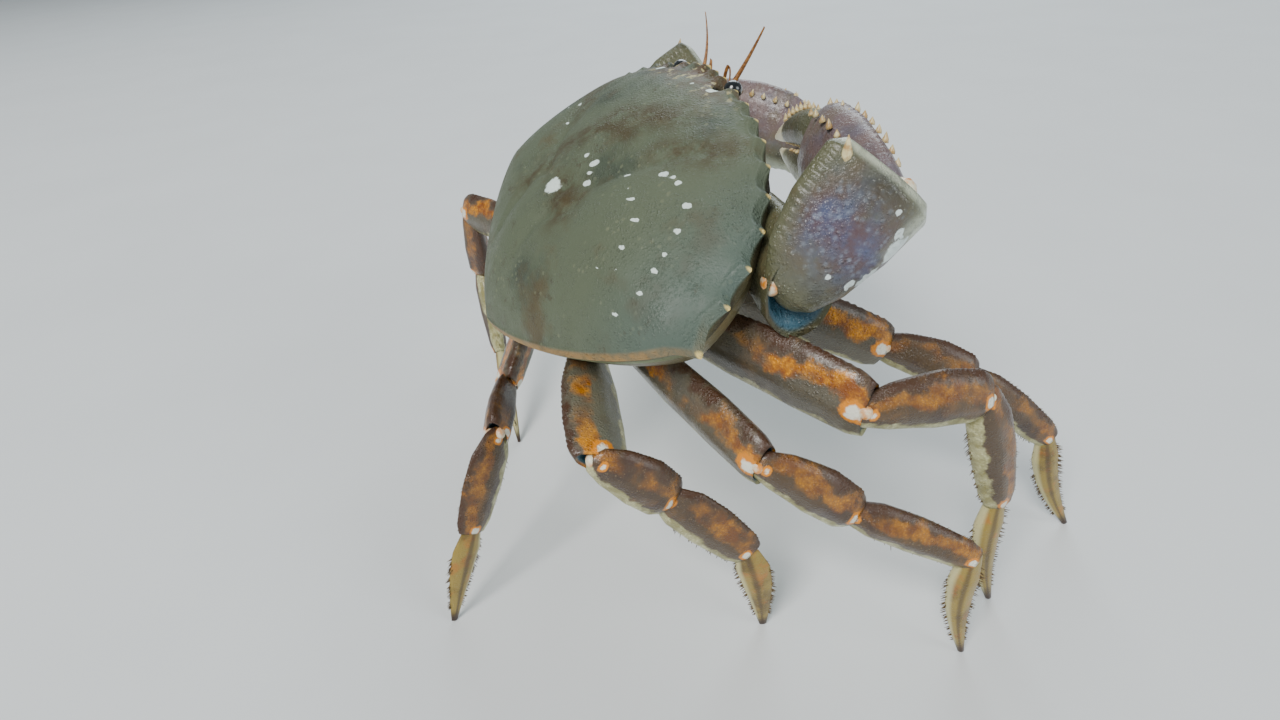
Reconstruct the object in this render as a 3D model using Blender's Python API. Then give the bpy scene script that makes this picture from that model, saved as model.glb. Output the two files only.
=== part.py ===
"""Dungeness crab at life size, standing still with its body tipped nose up.

The crab faces +Y with its right side at +X.  The floor is z = 0 and the origin
lies on it under the middle of the crab.  Body pieces hang on an empty at the
middle of the carapace margin, so one tilt turns them all.  Each limb piece has
its origin on the joint where it meets the piece before it.
"""

import math
import random

import bmesh
import bpy
from mathutils import Matrix, Vector

MM = 0.001

# Body size.  Lengths below marked CW are fractions of the carapace width.
CARAPACE_WIDTH = 0.170
BODY_HEIGHT = 0.118
NOSE_UP = math.radians(36.0)
GAP = 0.0003
CUT_GAP = 0.00045

# Carapace outline: two half superellipses about one centre, in CW.
OUTLINE_CENTRE_Y = -0.05
OUTLINE_HALF_WIDTH = 0.480
FRONT_DEPTH = 0.352
REAR_DEPTH = 0.270
FRONT_POWER = 2.05
REAR_POWER = 1.35
FRONT_RISE = 0.050
DOME_HEIGHT = 0.118
DOME_FLATNESS = 2.4
DOME_EDGE = 0.72
RIM_DROP = 0.032
RIM_INSET = 0.955
SHELL_SEGMENTS = 60
SHELL_RINGS = 18

# Teeth along each front side, the last one the long side spine.
TOOTH_COUNT = 10
FIRST_TOOTH_ANGLE = 68.3
TOOTH_ANGLE_STEP = 7.52
TOOTH_REACH = 0.015
SIDE_SPINE_REACH = 0.044
TOOTH_BASE = 0.052
TOOTH_THICKNESS = 0.34
TOOTH_SUNK = 0.035
FRONT_TOOTH_X = (0.0, 0.036, 0.074)
FRONT_TOOTH_TIP_Y = (0.322, 0.320, 0.316)

# Underbody bowl, in CW.
BOWL_DEPTH = 0.128
BOWL_INSET = 0.925
BOWL_SEGMENTS = 36
BOWL_RINGS = 10

# Eyes and feelers.
EYE_X = 0.108
EYE_Y = 0.298
EYE_Z = 0.040
ORBIT_RADIUS = 0.0052
EYE_RADIUS = 0.0023
EYE_STALK_RADIUS = 0.0021
ANTENNA_LENGTH = 0.019
ANTENNA_RADIUS = 0.0006

# Limb roots in body millimetres: side, forward and up from the empty.
COXA_RIGHT = {
    "claw_arm": (35.0, 27.0, -16.0),
    "leg_1": (41.0, 5.0, -20.0),
    "leg_2": (41.0, -10.0, -19.0),
    "leg_3": (37.0, -24.0, -18.5),
    "leg_4": (28.0, -35.0, -17.0),
}

# Lengths of merus, carpus, propodus (palm) and dactyl in millimetres.
LIMB_LENGTHS = {
    "claw_arm": (42.0, 34.0, 46.0, 44.0),
    "leg_1": (62.0, 31.0, 40.0, 44.0),
    "leg_2": (66.0, 33.0, 43.0, 47.0),
    "leg_3": (60.0, 30.0, 39.0, 43.0),
    "leg_4": (46.0, 25.0, 33.0, 35.0),
}

# Depth and width of each of those pieces in millimetres.
LIMB_DEPTHS = {
    "claw_arm": (27.0, 29.0, 31.0, 12.5),
    "leg_1": (17.5, 15.0, 12.0, 8.6),
    "leg_2": (21.0, 17.0, 12.5, 8.8),
    "leg_3": (17.5, 15.0, 12.0, 8.4),
    "leg_4": (18.5, 16.5, 16.5, 10.5),
}
LIMB_WIDTHS = {
    "claw_arm": (19.0, 24.0, 18.5, 8.5),
    "leg_1": (10.0, 10.0, 8.2, 6.0),
    "leg_2": (10.5, 10.5, 8.6, 6.2),
    "leg_3": (10.0, 10.0, 8.2, 6.0),
    "leg_4": (9.0, 9.0, 6.2, 4.2),
}

# Direction of each piece: compass angle from +Y towards +X, then rise, in degrees.
LIMB_ANGLES = {
    "right_claw_arm": ((98, -4), (3, 47), (-76, 2), (-78, -10)),
    "right_leg_1": ((22, -29), (26, -27), (26, -45), (26, -70)),
    "right_leg_2": ((61, -6), (9, -5), (15, -73), (17, -81)),
    "right_leg_3": ((74, -10), (22, -37), (27, -26), (30, -84)),
    "right_leg_4": ((105, -9), (11, -45), (24, -45), (25, -80)),
    "left_claw_arm": ((-74, -2), (-5, 22), (50, -14), (74, -20)),
    "left_leg_1": ((-64, -10), (-60, -32), (-58, -66), (-58, -80)),
    "left_leg_2": ((-88, 1), (-96, -32), (-97, -70), (-98, -82)),
    "left_leg_3": ((-115, -7), (-96, -95), (-86, -135), (-84, -140)),
    "left_leg_4": ((128, -28), (112, -7), (148, -58), (155, -65)),
}

# Turn of a merus about its own line, in degrees, and how low a palm hangs.
MERUS_TURNS = {"right_leg_4": 60.0, "left_leg_4": -25.0}
PALM_DROP = 0.010

# How far the upper side of a claw arm's carpus swells, and where its big spine stands:
# inward in widths, up in depths, out in lengths; then the spine's reach from there.
CARPUS_KEEL = 0.38
CARPUS_SPINE_PLACE = (0.15, 0.56, 0.86)
CARPUS_SPINE_REACH = (0.001, 0.0040, 0.0045)
CARPUS_SPINE_RADIUS = 0.0020

# Station along a piece, then depth and width there as fractions of its full size.
MERUS_PROFILE = ((0.0, 0.24), (0.03, 0.44), (0.16, 0.70), (0.42, 0.94),
                 (0.72, 1.0), (0.95, 0.94), (1.0, 0.78))
CARPUS_PROFILE = ((0.0, 0.26), (0.05, 0.52), (0.26, 0.80), (0.62, 1.0),
                  (0.92, 0.92), (1.0, 0.72))
WRIST_PROFILE = ((0.0, 0.26), (0.05, 0.50), (0.26, 0.80), (0.58, 1.0),
                 (0.92, 1.05), (1.0, 0.86))
PROPODUS_PROFILE = ((0.0, 0.28), (0.05, 0.58), (0.26, 0.96), (0.55, 1.0),
                    (0.90, 0.84), (1.0, 0.64))
DACTYL_PROFILE = ((0.0, 0.34), (0.05, 0.66), (0.25, 1.0), (0.50, 0.84),
                  (0.74, 0.56), (0.92, 0.33), (1.0, 0.22))
PALM_PROFILE = ((0.0, 0.26), (0.03, 0.42), (0.10, 0.58), (0.28, 0.82), (0.55, 0.98),
                (0.80, 1.0), (0.95, 0.88), (1.0, 0.70))
FINGER_PROFILE = ((0.0, 0.60), (0.06, 0.86), (0.22, 1.0), (0.45, 0.86), (0.68, 0.64),
                  (0.88, 0.38), (1.0, 0.14))
LIMB_SIDES = 10
CLAW_SIDES = 14
ROOT_OVERLAP = 0.10
FOOT_SINK = 0.0004

# Spines of the claw arms.
PALM_SPINES = 6
FINGER_SPINES = 7
SPINE_SIDES = 5
SPINE_RADIUS = 0.0011
SPINE_LENGTH = 0.0034

COLOURS = {
    "shell": ((0.27, 0.25, 0.17), 0.42),
    "belly": ((0.62, 0.58, 0.44), 0.48),
    "eye": ((0.02, 0.03, 0.035), 0.12),
    "feeler": ((0.45, 0.33, 0.20), 0.50),
    "claw": ((0.30, 0.27, 0.24), 0.42),
    "leg": ((0.38, 0.25, 0.12), 0.42),
    "leg_tip": ((0.52, 0.42, 0.20), 0.40),
}


def make_collection(name):
    """Return a new collection linked to the scene."""
    made = bpy.data.collections.new(name)
    bpy.context.scene.collection.children.link(made)
    return made


def make_materials():
    """Return the Principled materials by name."""
    made = {}
    for name, (colour, roughness) in COLOURS.items():
        mat = bpy.data.materials.new(name)
        mat.use_nodes = True
        shader = mat.node_tree.nodes["Principled BSDF"]
        shader.inputs["Base Color"].default_value = (*colour, 1.0)
        shader.inputs["Roughness"].default_value = roughness
        shader.inputs["Metallic"].default_value = 0.0
        mat.diffuse_color = (*colour, 1.0)
        made[name] = mat
    return made


def new_object(name, bm, mat, matrix=None, parent=None):
    """Turn a bmesh into a named object with its material and place."""
    bmesh.ops.triangulate(bm, faces=bm.faces)
    bmesh.ops.recalc_face_normals(bm, faces=bm.faces)
    mesh = bpy.data.meshes.new(name)
    bm.to_mesh(mesh)
    bm.free()
    mesh.materials.append(mat)
    obj = bpy.data.objects.new(name, mesh)
    CRAB.objects.link(obj)
    if parent is not None:
        obj.parent = parent
    if matrix is not None:
        obj.matrix_local = matrix
    bpy.context.view_layer.update()
    return obj


def keep_largest(bm):
    """Drop every loose piece but the largest."""
    left = set(bm.verts)
    pieces = []
    while left:
        seed = left.pop()
        piece = {seed}
        edge = [seed]
        while edge:
            vert = edge.pop()
            for link in vert.link_edges:
                other = link.other_vert(vert)
                if other not in piece:
                    piece.add(other)
                    edge.append(other)
        left -= piece
        pieces.append(piece)
    pieces.sort(key=len, reverse=True)
    extra = [vert for piece in pieces[1:] for vert in piece]
    if extra:
        bmesh.ops.delete(bm, geom=extra, context="VERTS")


def combine(obj, other, operation):
    """Apply one exact Boolean to an object and remove the other one."""
    cut = obj.modifiers.new("combine", "BOOLEAN")
    cut.operation = operation
    cut.solver = "EXACT"
    cut.object = other
    graph = bpy.context.evaluated_depsgraph_get()
    result = bpy.data.meshes.new_from_object(obj.evaluated_get(graph))
    obj.modifiers.remove(cut)
    bm = bmesh.new()
    bm.from_mesh(result)
    keep_largest(bm)
    bmesh.ops.remove_doubles(bm, verts=bm.verts, dist=0.00001)
    bmesh.ops.triangulate(bm, faces=bm.faces)
    bm.to_mesh(result)
    bm.free()
    old = obj.data
    result.name = obj.name
    obj.data = result
    bpy.data.meshes.remove(old)
    bpy.data.objects.remove(other)
    bpy.context.view_layer.update()


def clear_for(owner, intruder):
    """Cut room for one piece, with its gap, out of the piece it enters."""
    mesh = intruder.data.copy()
    bm = bmesh.new()
    bm.from_mesh(mesh)
    bm.normal_update()
    moves = [(vert, vert.normal * CUT_GAP) for vert in bm.verts]
    for vert, move in moves:
        vert.co += move
    bm.to_mesh(mesh)
    bm.free()
    cutter = bpy.data.objects.new("clearance", mesh)
    CUTTERS.objects.link(cutter)
    cutter.hide_render = True
    cutter.display_type = "WIRE"
    cutter.matrix_world = intruder.matrix_world.copy()
    bpy.context.view_layer.update()
    combine(owner, cutter, "DIFFERENCE")


def outline_radius(angle):
    """Return the margin's distance from the outline centre in metres."""
    side = abs(math.cos(angle)) / OUTLINE_HALF_WIDTH
    along = abs(math.sin(angle))
    if math.sin(angle) >= 0.0:
        power = FRONT_POWER
        along /= FRONT_DEPTH
    else:
        power = REAR_POWER
        along /= REAR_DEPTH
    return CARAPACE_WIDTH * (side ** power + along ** power) ** (-1.0 / power)


def margin_point(angle, scale=1.0, height=0.0):
    """Return a point of the scaled outline in the body frame."""
    reach = outline_radius(angle) * scale
    centre = OUTLINE_CENTRE_Y * CARAPACE_WIDTH
    return Vector((reach * math.cos(angle), centre + reach * math.sin(angle), height))


def front_lift(angle, reach):
    """Return how far the shell curves up towards its front margin."""
    rise = max(0.0, math.sin(angle)) ** 1.5 * min(reach, 1.0) ** 2
    return FRONT_RISE * CARAPACE_WIDTH * rise


def dome_height(angle, reach):
    """Return the height of the back over the margin, with its low swellings."""
    share = min(reach, 1.0)
    base = DOME_HEIGHT * max(0.0, 1.0 - share ** DOME_FLATNESS) ** DOME_EDGE
    x = share * math.cos(angle)
    y = share * math.sin(angle)
    groove = 0.010 * math.exp(-((abs(x) - 0.25 - 0.25 * y) / 0.06) ** 2)
    groove *= math.exp(-((y - 0.15) / 0.45) ** 2)
    cheek = 0.008 * math.exp(-(((abs(x) - 0.55) / 0.25) ** 2 + ((y + 0.1) / 0.4) ** 2))
    middle = 0.006 * math.exp(-((x / 0.2) ** 2 + ((y - 0.35) / 0.3) ** 2))
    return CARAPACE_WIDTH * (base - groove * (1.0 - share) + cheek * (1.0 - share) + middle)


def make_spine(bm, root, tip, radius, sides, flat=1.0, flat_axis=None):
    """Add one cone with its base at root and its point at tip."""
    line = tip - root
    turn = line.to_track_quat("Z", "Y").to_matrix()
    if flat_axis is not None:
        across = flat_axis.cross(line).normalized()
        up = line.normalized().cross(across).normalized()
        turn = Matrix((across, up, line.normalized())).transposed()
    made = bmesh.ops.create_cone(bm, cap_ends=True, cap_tris=False, segments=sides,
                                 radius1=radius, radius2=radius * 0.12, depth=line.length)
    middle = (root + tip) * 0.5
    for vert in made["verts"]:
        flat_co = Vector((vert.co.x, vert.co.y * flat, vert.co.z))
        vert.co = middle + turn @ flat_co


def union_spines(obj, spines, mat):
    """Join a list of spines (root, tip, radius, sides, flat, axis) to an object."""
    for number, spine in enumerate(spines):
        bm = bmesh.new()
        make_spine(bm, *spine)
        piece = new_object(f"spine_{number}", bm, mat, obj.matrix_world.copy())
        combine(obj, piece, "UNION")


def carapace_teeth(rng):
    """Return the spines of the front and side margin."""
    spines = []
    up = Vector((0.0, 0.0, 1.0))
    for number in range(TOOTH_COUNT):
        last = number == TOOTH_COUNT - 1
        angle = math.radians(FIRST_TOOTH_ANGLE - TOOTH_ANGLE_STEP * number)
        size = 0.80 + 0.04 * number
        reach = SIDE_SPINE_REACH if last else TOOTH_REACH * size * rng.uniform(0.94, 1.05)
        forward = math.radians(-8.0 if last else 22.0)
        for side in (1.0, -1.0):
            margin = margin_point(angle, 1.0, 0.0)
            way = Vector((math.cos(angle + forward), math.sin(angle + forward), 0.0))
            tip = margin + way * reach * CARAPACE_WIDTH
            root = margin - way * TOOTH_SUNK * CARAPACE_WIDTH
            tip.x *= side
            root.x *= side
            lift = front_lift(angle, 1.0)
            tip.z = lift + 0.001
            root.z = lift - 0.0012
            radius = TOOTH_BASE * CARAPACE_WIDTH * (0.62 if last else 0.54)
            spines.append((root, tip, radius, 5, TOOTH_THICKNESS * 1.25, up))
    for x, tip_y in zip(FRONT_TOOTH_X, FRONT_TOOTH_TIP_Y):
        for side in ((1.0,) if x == 0.0 else (1.0, -1.0)):
            tip = Vector((side * x, tip_y, FRONT_RISE + 0.004)) * CARAPACE_WIDTH
            root = Vector((side * x, tip_y - 0.060, FRONT_RISE - 0.006)) * CARAPACE_WIDTH
            spines.append((root, tip, 0.021 * CARAPACE_WIDTH, 6, 0.6, up))
    return spines


def make_carapace(frame, rng):
    """Build the back shell: dome, turned-in rim, eye notches and teeth."""
    bm = bmesh.new()
    bmesh.ops.create_uvsphere(bm, u_segments=SHELL_SEGMENTS, v_segments=SHELL_RINGS, radius=1.0)
    bmesh.ops.bisect_plane(bm, geom=bm.verts[:] + bm.edges[:] + bm.faces[:],
                           plane_co=(0, 0, 0), plane_no=(0, 0, -1), clear_outer=True)
    for vert in bm.verts:
        reach = math.hypot(vert.co.x, vert.co.y)
        angle = math.atan2(vert.co.y, vert.co.x)
        height = dome_height(angle, reach) if reach < 0.999 else 0.0
        vert.co = margin_point(angle, reach, height + front_lift(angle, reach))
    rim = [edge for edge in bm.edges if edge.is_boundary]
    grown = bmesh.ops.extrude_edge_only(bm, edges=rim)
    centre = Vector((0.0, OUTLINE_CENTRE_Y * CARAPACE_WIDTH, 0.0))
    for item in grown["geom"]:
        if isinstance(item, bmesh.types.BMVert):
            item.co = centre + (item.co - centre) * RIM_INSET
            item.co.z = -RIM_DROP * CARAPACE_WIDTH
    bmesh.ops.holes_fill(bm, edges=[edge for edge in bm.edges if edge.is_boundary])
    shell = new_object("carapace", bm, MATS["shell"], parent=frame)
    union_spines(shell, carapace_teeth(rng), MATS["shell"])
    for side in (1.0, -1.0):
        ball = bmesh.new()
        place = Vector((side * EYE_X, EYE_Y, EYE_Z)) * CARAPACE_WIDTH
        bmesh.ops.create_uvsphere(ball, u_segments=14, v_segments=8, radius=ORBIT_RADIUS,
                                  matrix=Matrix.Translation(place))
        cutter = new_object("orbit", ball, MATS["shell"], frame.matrix_world.copy())
        combine(shell, cutter, "DIFFERENCE")
    return shell


def make_underbody(frame):
    """Build the bowl under the shell that carries the limb roots."""
    top = -RIM_DROP * CARAPACE_WIDTH - GAP
    bm = bmesh.new()
    bmesh.ops.create_uvsphere(bm, u_segments=BOWL_SEGMENTS, v_segments=BOWL_RINGS, radius=1.0)
    bmesh.ops.bisect_plane(bm, geom=bm.verts[:] + bm.edges[:] + bm.faces[:],
                           plane_co=(0, 0, 0), plane_no=(0, 0, 1), clear_outer=True)
    for vert in bm.verts:
        reach = math.hypot(vert.co.x, vert.co.y)
        angle = math.atan2(vert.co.y, vert.co.x)
        height = top + vert.co.z * BOWL_DEPTH * CARAPACE_WIDTH
        vert.co = margin_point(angle, BOWL_INSET * reach ** 0.8, height)
    bmesh.ops.holes_fill(bm, edges=[edge for edge in bm.edges if edge.is_boundary])
    return new_object("underbody", bm, MATS["belly"], parent=frame)


def trim_to_shell(obj):
    """Cut away what the limb roots push above the underbody's flat top."""
    bm = bmesh.new()
    bm.from_mesh(obj.data)
    top = Vector((0.0, 0.0, -RIM_DROP * CARAPACE_WIDTH - GAP))
    bmesh.ops.bisect_plane(bm, geom=bm.verts[:] + bm.edges[:] + bm.faces[:], plane_co=top,
                           plane_no=(0, 0, 1), clear_outer=True, dist=0.000002)
    bmesh.ops.holes_fill(bm, edges=[edge for edge in bm.edges if edge.is_boundary])
    bmesh.ops.triangulate(bm, faces=bm.faces)
    bm.to_mesh(obj.data)
    bm.free()


def bearing(compass, rise):
    """Return the unit direction of a compass angle and a rise in degrees."""
    turn = math.radians(compass)
    lift = math.radians(rise)
    flat = math.cos(lift)
    return Vector((math.sin(turn) * flat, math.cos(turn) * flat, math.sin(lift)))


def make_segment(name, start, way, depth_way, length, depth, width, profile, mat, sides,
                 bow=0.0, keel=0.0, under=ROOT_OVERLAP):
    """Build one limb piece from a cylinder with rings set to a profile."""
    bm = bmesh.new()
    bmesh.ops.create_cone(bm, cap_ends=True, segments=sides, radius1=1.0, radius2=1.0, depth=1.0)
    long_edges = [edge for edge in bm.edges
                  if abs(edge.verts[0].co.z - edge.verts[1].co.z) > 0.5]
    rings = len(profile)
    bmesh.ops.subdivide_edges(bm, edges=long_edges, cuts=rings - 2, use_grid_fill=False)
    back = length * under
    for vert in bm.verts:
        ring = int(round((vert.co.z + 0.5) * (rings - 1)))
        station, size = profile[ring]
        height = -back + (length + back) * station
        x = vert.co.x * 0.5 * width * size
        y = vert.co.y * 0.5 * depth * size
        if vert.co.y > 0.0:
            y *= 1.0 + keel * (1.0 - abs(vert.co.x))
            x *= 1.0 - 0.2 * keel * vert.co.y
        y += bow * length * math.sin(math.pi * station)
        vert.co = Vector((x, y, height))
    across = depth_way.cross(way).normalized()
    up = way.cross(across).normalized()
    turn = Matrix((across, up, way.normalized())).transposed().to_4x4()
    return new_object(name, bm, mat, Matrix.Translation(start) @ turn)


def limb_chain(name, kind, side):
    """Return the joints and directions of one limb, its foot set on the floor."""
    root = COXA_RIGHT[kind]
    start = BODY_MATRIX @ (Vector((side * root[0], root[1], root[2])) * MM)
    ways = [bearing(*pair) for pair in LIMB_ANGLES[name]]
    lengths = [value * MM for value in LIMB_LENGTHS[kind]]
    if kind != "claw_arm":
        lift = 0.0
        for _ in range(60):
            ways = [bearing(compass, rise + lift * share) for (compass, rise), share
                    in zip(LIMB_ANGLES[name], (1.0, 1.0, 1.0, 0.35))]
            end = start.copy()
            for way, length in zip(ways, lengths):
                end += way * length
            lift -= math.degrees((end.z - FOOT_SINK) / 0.12) * 0.5
    joints = [start]
    for way, length in zip(ways, lengths):
        joints.append(joints[-1] + way * length)
    return joints, ways, lengths


def make_leg(name, kind, side, underbody):
    """Build one walking leg of four pieces and fit each into the one before."""
    joints, ways, lengths = limb_chain(name, kind, side)
    depths = LIMB_DEPTHS[kind]
    widths = LIMB_WIDTHS[kind]
    parts = []
    last_bow = -0.06 if kind != "leg_4" else 0.03
    plan = (("merus", MERUS_PROFILE, "leg", 0.02, 0.10, 0.08),
            ("carpus", CARPUS_PROFILE, "leg", 0.03, 0.12, 0.14),
            ("propodus", PROPODUS_PROFILE, "leg", 0.01, 0.10, 0.10),
            ("dactyl", DACTYL_PROFILE, "leg_tip", last_bow, 0.06, 0.08))
    for number, (piece, profile, mat, bow, keel, under) in enumerate(plan):
        turn = math.radians(MERUS_TURNS.get(name, 0.0)) if number == 0 else 0.0
        tucked = LIMB_ANGLES[name][number][1] < -90.0
        up = Matrix.Rotation(turn, 3, ways[number]) @ Vector((0.0, 0.0, -1.0 if tucked else 1.0))
        part = make_segment(f"{name}_{piece}", joints[number], ways[number], up,
                            lengths[number], depths[number] * MM, widths[number] * MM,
                            profile, MATS[mat], LIMB_SIDES, bow, keel, under)
        parts.append(part)
    for before, after in zip(parts, parts[1:]):
        clear_for(before, after)
    flatten_foot(parts[-1])
    root = limb_root(name, kind, side, joints[0], depths[0] * MM)
    combine(underbody, root, "UNION")
    return parts


def flatten_foot(obj):
    """Cut the tip of a dactyl off level with the floor."""
    bm = bmesh.new()
    bm.from_mesh(obj.data)
    bmesh.ops.transform(bm, matrix=obj.matrix_world, verts=bm.verts)
    bmesh.ops.bisect_plane(bm, geom=bm.verts[:] + bm.edges[:] + bm.faces[:],
                           plane_co=(0, 0, 0), plane_no=(0, 0, -1), clear_outer=True)
    bmesh.ops.holes_fill(bm, edges=[edge for edge in bm.edges if edge.is_boundary])
    bmesh.ops.triangulate(bm, faces=bm.faces)
    bmesh.ops.transform(bm, matrix=obj.matrix_world.inverted(), verts=bm.verts)
    bm.to_mesh(obj.data)
    bm.free()


def limb_root(name, kind, side, joint, depth):
    """Build the short coxa that joins a limb to the underbody."""
    root = COXA_RIGHT[kind]
    inner = Vector((side * root[0] * 0.45, root[1] * 0.8, root[2] * 0.9 + 2.0)) * MM
    start = BODY_MATRIX @ inner
    way = joint - start
    end_way = way.normalized()
    up = BODY_MATRIX.to_3x3() @ Vector((0.0, 0.0, 1.0))
    profile = ((0.0, 0.9), (0.3, 1.0), (0.7, 1.0), (0.9, 0.92), (1.0, 0.72))
    length = way.length + 0.003
    return make_segment(f"{name}_coxa", start, end_way, up, length, depth * 0.92,
                        depth * 0.78, profile, MATS["belly"], 10, 0.0, 0.0, 0.0)


def make_claw_arm(name, kind, side, underbody, rng):
    """Build a claw arm: merus, carpus, palm with its fixed finger, and dactyl."""
    joints, ways, lengths = limb_chain(name, kind, side)
    depths = [value * MM for value in LIMB_DEPTHS[kind]]
    widths = [value * MM for value in LIMB_WIDTHS[kind]]
    up = Vector((0.0, 0.0, 1.0))
    merus = make_segment(f"{name}_merus", joints[0], ways[0], up, lengths[0], depths[0],
                         widths[0], MERUS_PROFILE, MATS["claw"], CLAW_SIDES, 0.02, 0.2, 0.10)
    carpus = make_segment(f"{name}_carpus", joints[1], ways[1], up, lengths[1], depths[1],
                          widths[1], WRIST_PROFILE, MATS["claw"], CLAW_SIDES, 0.02,
                          CARPUS_KEEL, 0.14)
    joints[2] = joints[2] - up * PALM_DROP
    joints[3] = joints[3] - up * PALM_DROP
    palm = make_segment(f"{name}_palm", joints[2], ways[2], up, lengths[2], depths[2],
                        widths[2], PALM_PROFILE, MATS["claw"], CLAW_SIDES, 0.02, 0.15, 0.12)
    across = up.cross(ways[2]).normalized()
    palm_up = ways[2].cross(across).normalized()
    low = joints[3] - palm_up * depths[2] * 0.20 - ways[2] * 0.006
    low_way = (ways[3] + palm_up * 0.11).normalized()
    fixed = make_segment(f"{name}_fixed", low, low_way, palm_up, lengths[3] * 0.92,
                         depths[2] * 0.40, widths[3], FINGER_PROFILE, MATS["claw"],
                         12, -0.03, 0.0, 0.2)
    combine(palm, fixed, "UNION")
    high = joints[3] + palm_up * depths[2] * 0.20 - ways[2] * 0.002
    high_way = (ways[3] + palm_up * -0.11).normalized()
    dactyl = make_segment(f"{name}_dactyl", high, high_way, palm_up, lengths[3],
                          depths[3], widths[3], FINGER_PROFILE, MATS["claw"],
                          12, 0.05, 0.1, 0.10)
    spines = []
    for number in range(PALM_SPINES):
        share = 0.18 + 0.72 * number / (PALM_SPINES - 1)
        height = depths[2] * (0.30 + 0.20 * share)
        base = Vector((0.0, height * 0.9, lengths[2] * share))
        tip = base + Vector((0.0, SPINE_LENGTH * rng.uniform(1.2, 1.6), 0.0012))
        spines.append((base, tip, SPINE_RADIUS * 1.3, SPINE_SIDES, 1.0, None))
    union_spines(palm, spines, MATS["claw"])
    spines = []
    for number in range(FINGER_SPINES):
        share = 0.14 + 0.60 * number / (FINGER_SPINES - 1)
        height = depths[3] * 0.36 + 0.05 * lengths[3] * math.sin(math.pi * share)
        height *= 1.0 - 0.25 * max(0.0, share - 0.5)
        base = Vector((0.0, height, lengths[3] * share))
        tip = base + Vector((0.0, SPINE_LENGTH * rng.uniform(0.9, 1.2), 0.001))
        spines.append((base, tip, SPINE_RADIUS, SPINE_SIDES, 1.0, None))
    union_spines(dactyl, spines, MATS["claw"])
    inward, upward, outward = CARPUS_SPINE_PLACE
    base = Vector((-side * inward * widths[1], upward * depths[1], outward * lengths[1]))
    inward, upward, outward = CARPUS_SPINE_REACH
    tip = base + Vector((-side * inward, upward, outward))
    union_spines(carpus, [(base, tip, CARPUS_SPINE_RADIUS, 7, 1.0, None)], MATS["claw"])
    clear_for(merus, carpus)
    clear_for(carpus, palm)
    clear_for(palm, dactyl)
    root = limb_root(name, kind, side, joints[0], depths[0])
    combine(underbody, root, "UNION")
    return [merus, carpus, palm, dactyl]


def make_eye(frame, side, name):
    """Build one eye on its short stalk."""
    bm = bmesh.new()
    place = Vector((side * EYE_X, EYE_Y + 0.002, EYE_Z)) * CARAPACE_WIDTH
    bmesh.ops.create_uvsphere(bm, u_segments=14, v_segments=10, radius=EYE_RADIUS,
                              matrix=Matrix.Translation(place))
    eye = new_object(name, bm, MATS["eye"], parent=frame)
    foot = place + Vector((-side * 0.0028, -0.0022, -0.0012))
    stalk = bmesh.new()
    make_spine(stalk, foot, place, EYE_STALK_RADIUS, 12)
    piece = new_object("stalk", stalk, MATS["eye"], frame.matrix_world.copy())
    combine(eye, piece, "UNION")
    return eye


def make_feeler(frame, side, name):
    """Build one antenna as a curve with a bevel, then as a closed mesh."""
    curve = bpy.data.curves.new(name, "CURVE")
    curve.dimensions = "3D"
    curve.bevel_depth = ANTENNA_RADIUS
    curve.bevel_resolution = 1
    curve.use_fill_caps = True
    line = curve.splines.new("POLY")
    count = 9
    line.points.add(count - 1)
    for number in range(count):
        share = number / (count - 1)
        x = side * (0.060 * CARAPACE_WIDTH + 0.004 * share + 0.005 * share ** 2)
        y = 0.3120 * CARAPACE_WIDTH + ANTENNA_LENGTH * 0.80 * share
        z = 0.022 * CARAPACE_WIDTH + ANTENNA_LENGTH * (0.30 * share + 0.25 * share ** 2)
        line.points[number].co = (x, y, z, 1.0)
        line.points[number].radius = 1.5 - 1.05 * share
    holder = bpy.data.objects.new(name + "_line", curve)
    CRAB.objects.link(holder)
    bpy.context.view_layer.update()
    graph = bpy.context.evaluated_depsgraph_get()
    mesh = bpy.data.meshes.new_from_object(holder.evaluated_get(graph))
    bm = bmesh.new()
    bm.from_mesh(mesh)
    bmesh.ops.remove_doubles(bm, verts=bm.verts, dist=0.000001)
    bpy.data.objects.remove(holder)
    bpy.data.curves.remove(curve)
    bpy.data.meshes.remove(mesh)
    return new_object(name, bm, MATS["feeler"], parent=frame)


def make_flap(frame, underbody):
    """Build the narrow abdomen folded forward under the body."""
    profile = ((0.0, 0.70), (0.04, 0.90), (0.16, 1.0), (0.34, 0.86), (0.52, 0.66),
               (0.70, 0.54), (0.88, 0.42), (1.0, 0.24))
    floor_z = -(RIM_DROP + BOWL_DEPTH) * CARAPACE_WIDTH
    start = frame.matrix_world @ Vector((0.0, -0.225 * CARAPACE_WIDTH, floor_z * 0.80))
    end = frame.matrix_world @ Vector((0.0, 0.035 * CARAPACE_WIDTH, floor_z - 0.0004))
    up = frame.matrix_world.to_3x3() @ Vector((0.0, 0.0, 1.0))
    way = end - start
    flap = make_segment("abdomen", start, way.normalized(), up, way.length, 0.0060, 0.026,
                        profile, MATS["belly"], 14, -0.10, 0.0, 0.0)
    clear_for(underbody, flap)
    return flap


def make_mouth_plate(frame, side, name, underbody):
    """Build one outer mouth plate in front of the underbody."""
    profile = ((0.0, 0.55), (0.08, 0.80), (0.35, 1.0), (0.65, 0.98), (0.90, 0.80), (1.0, 0.55))
    place = frame.matrix_world
    start = place @ (Vector((side * 0.040, 0.150, -0.128)) * CARAPACE_WIDTH)
    end = place @ (Vector((side * 0.040, 0.268, -0.052)) * CARAPACE_WIDTH)
    way = end - start
    out = place.to_3x3() @ Vector((0.0, 0.55, -0.85))
    plate = make_segment(name, start, way.normalized(), out, way.length, 0.0046, 0.0125,
                         profile, MATS["belly"], 12, 0.06, 0.0, 0.0)
    clear_for(underbody, plate)
    return plate


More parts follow.
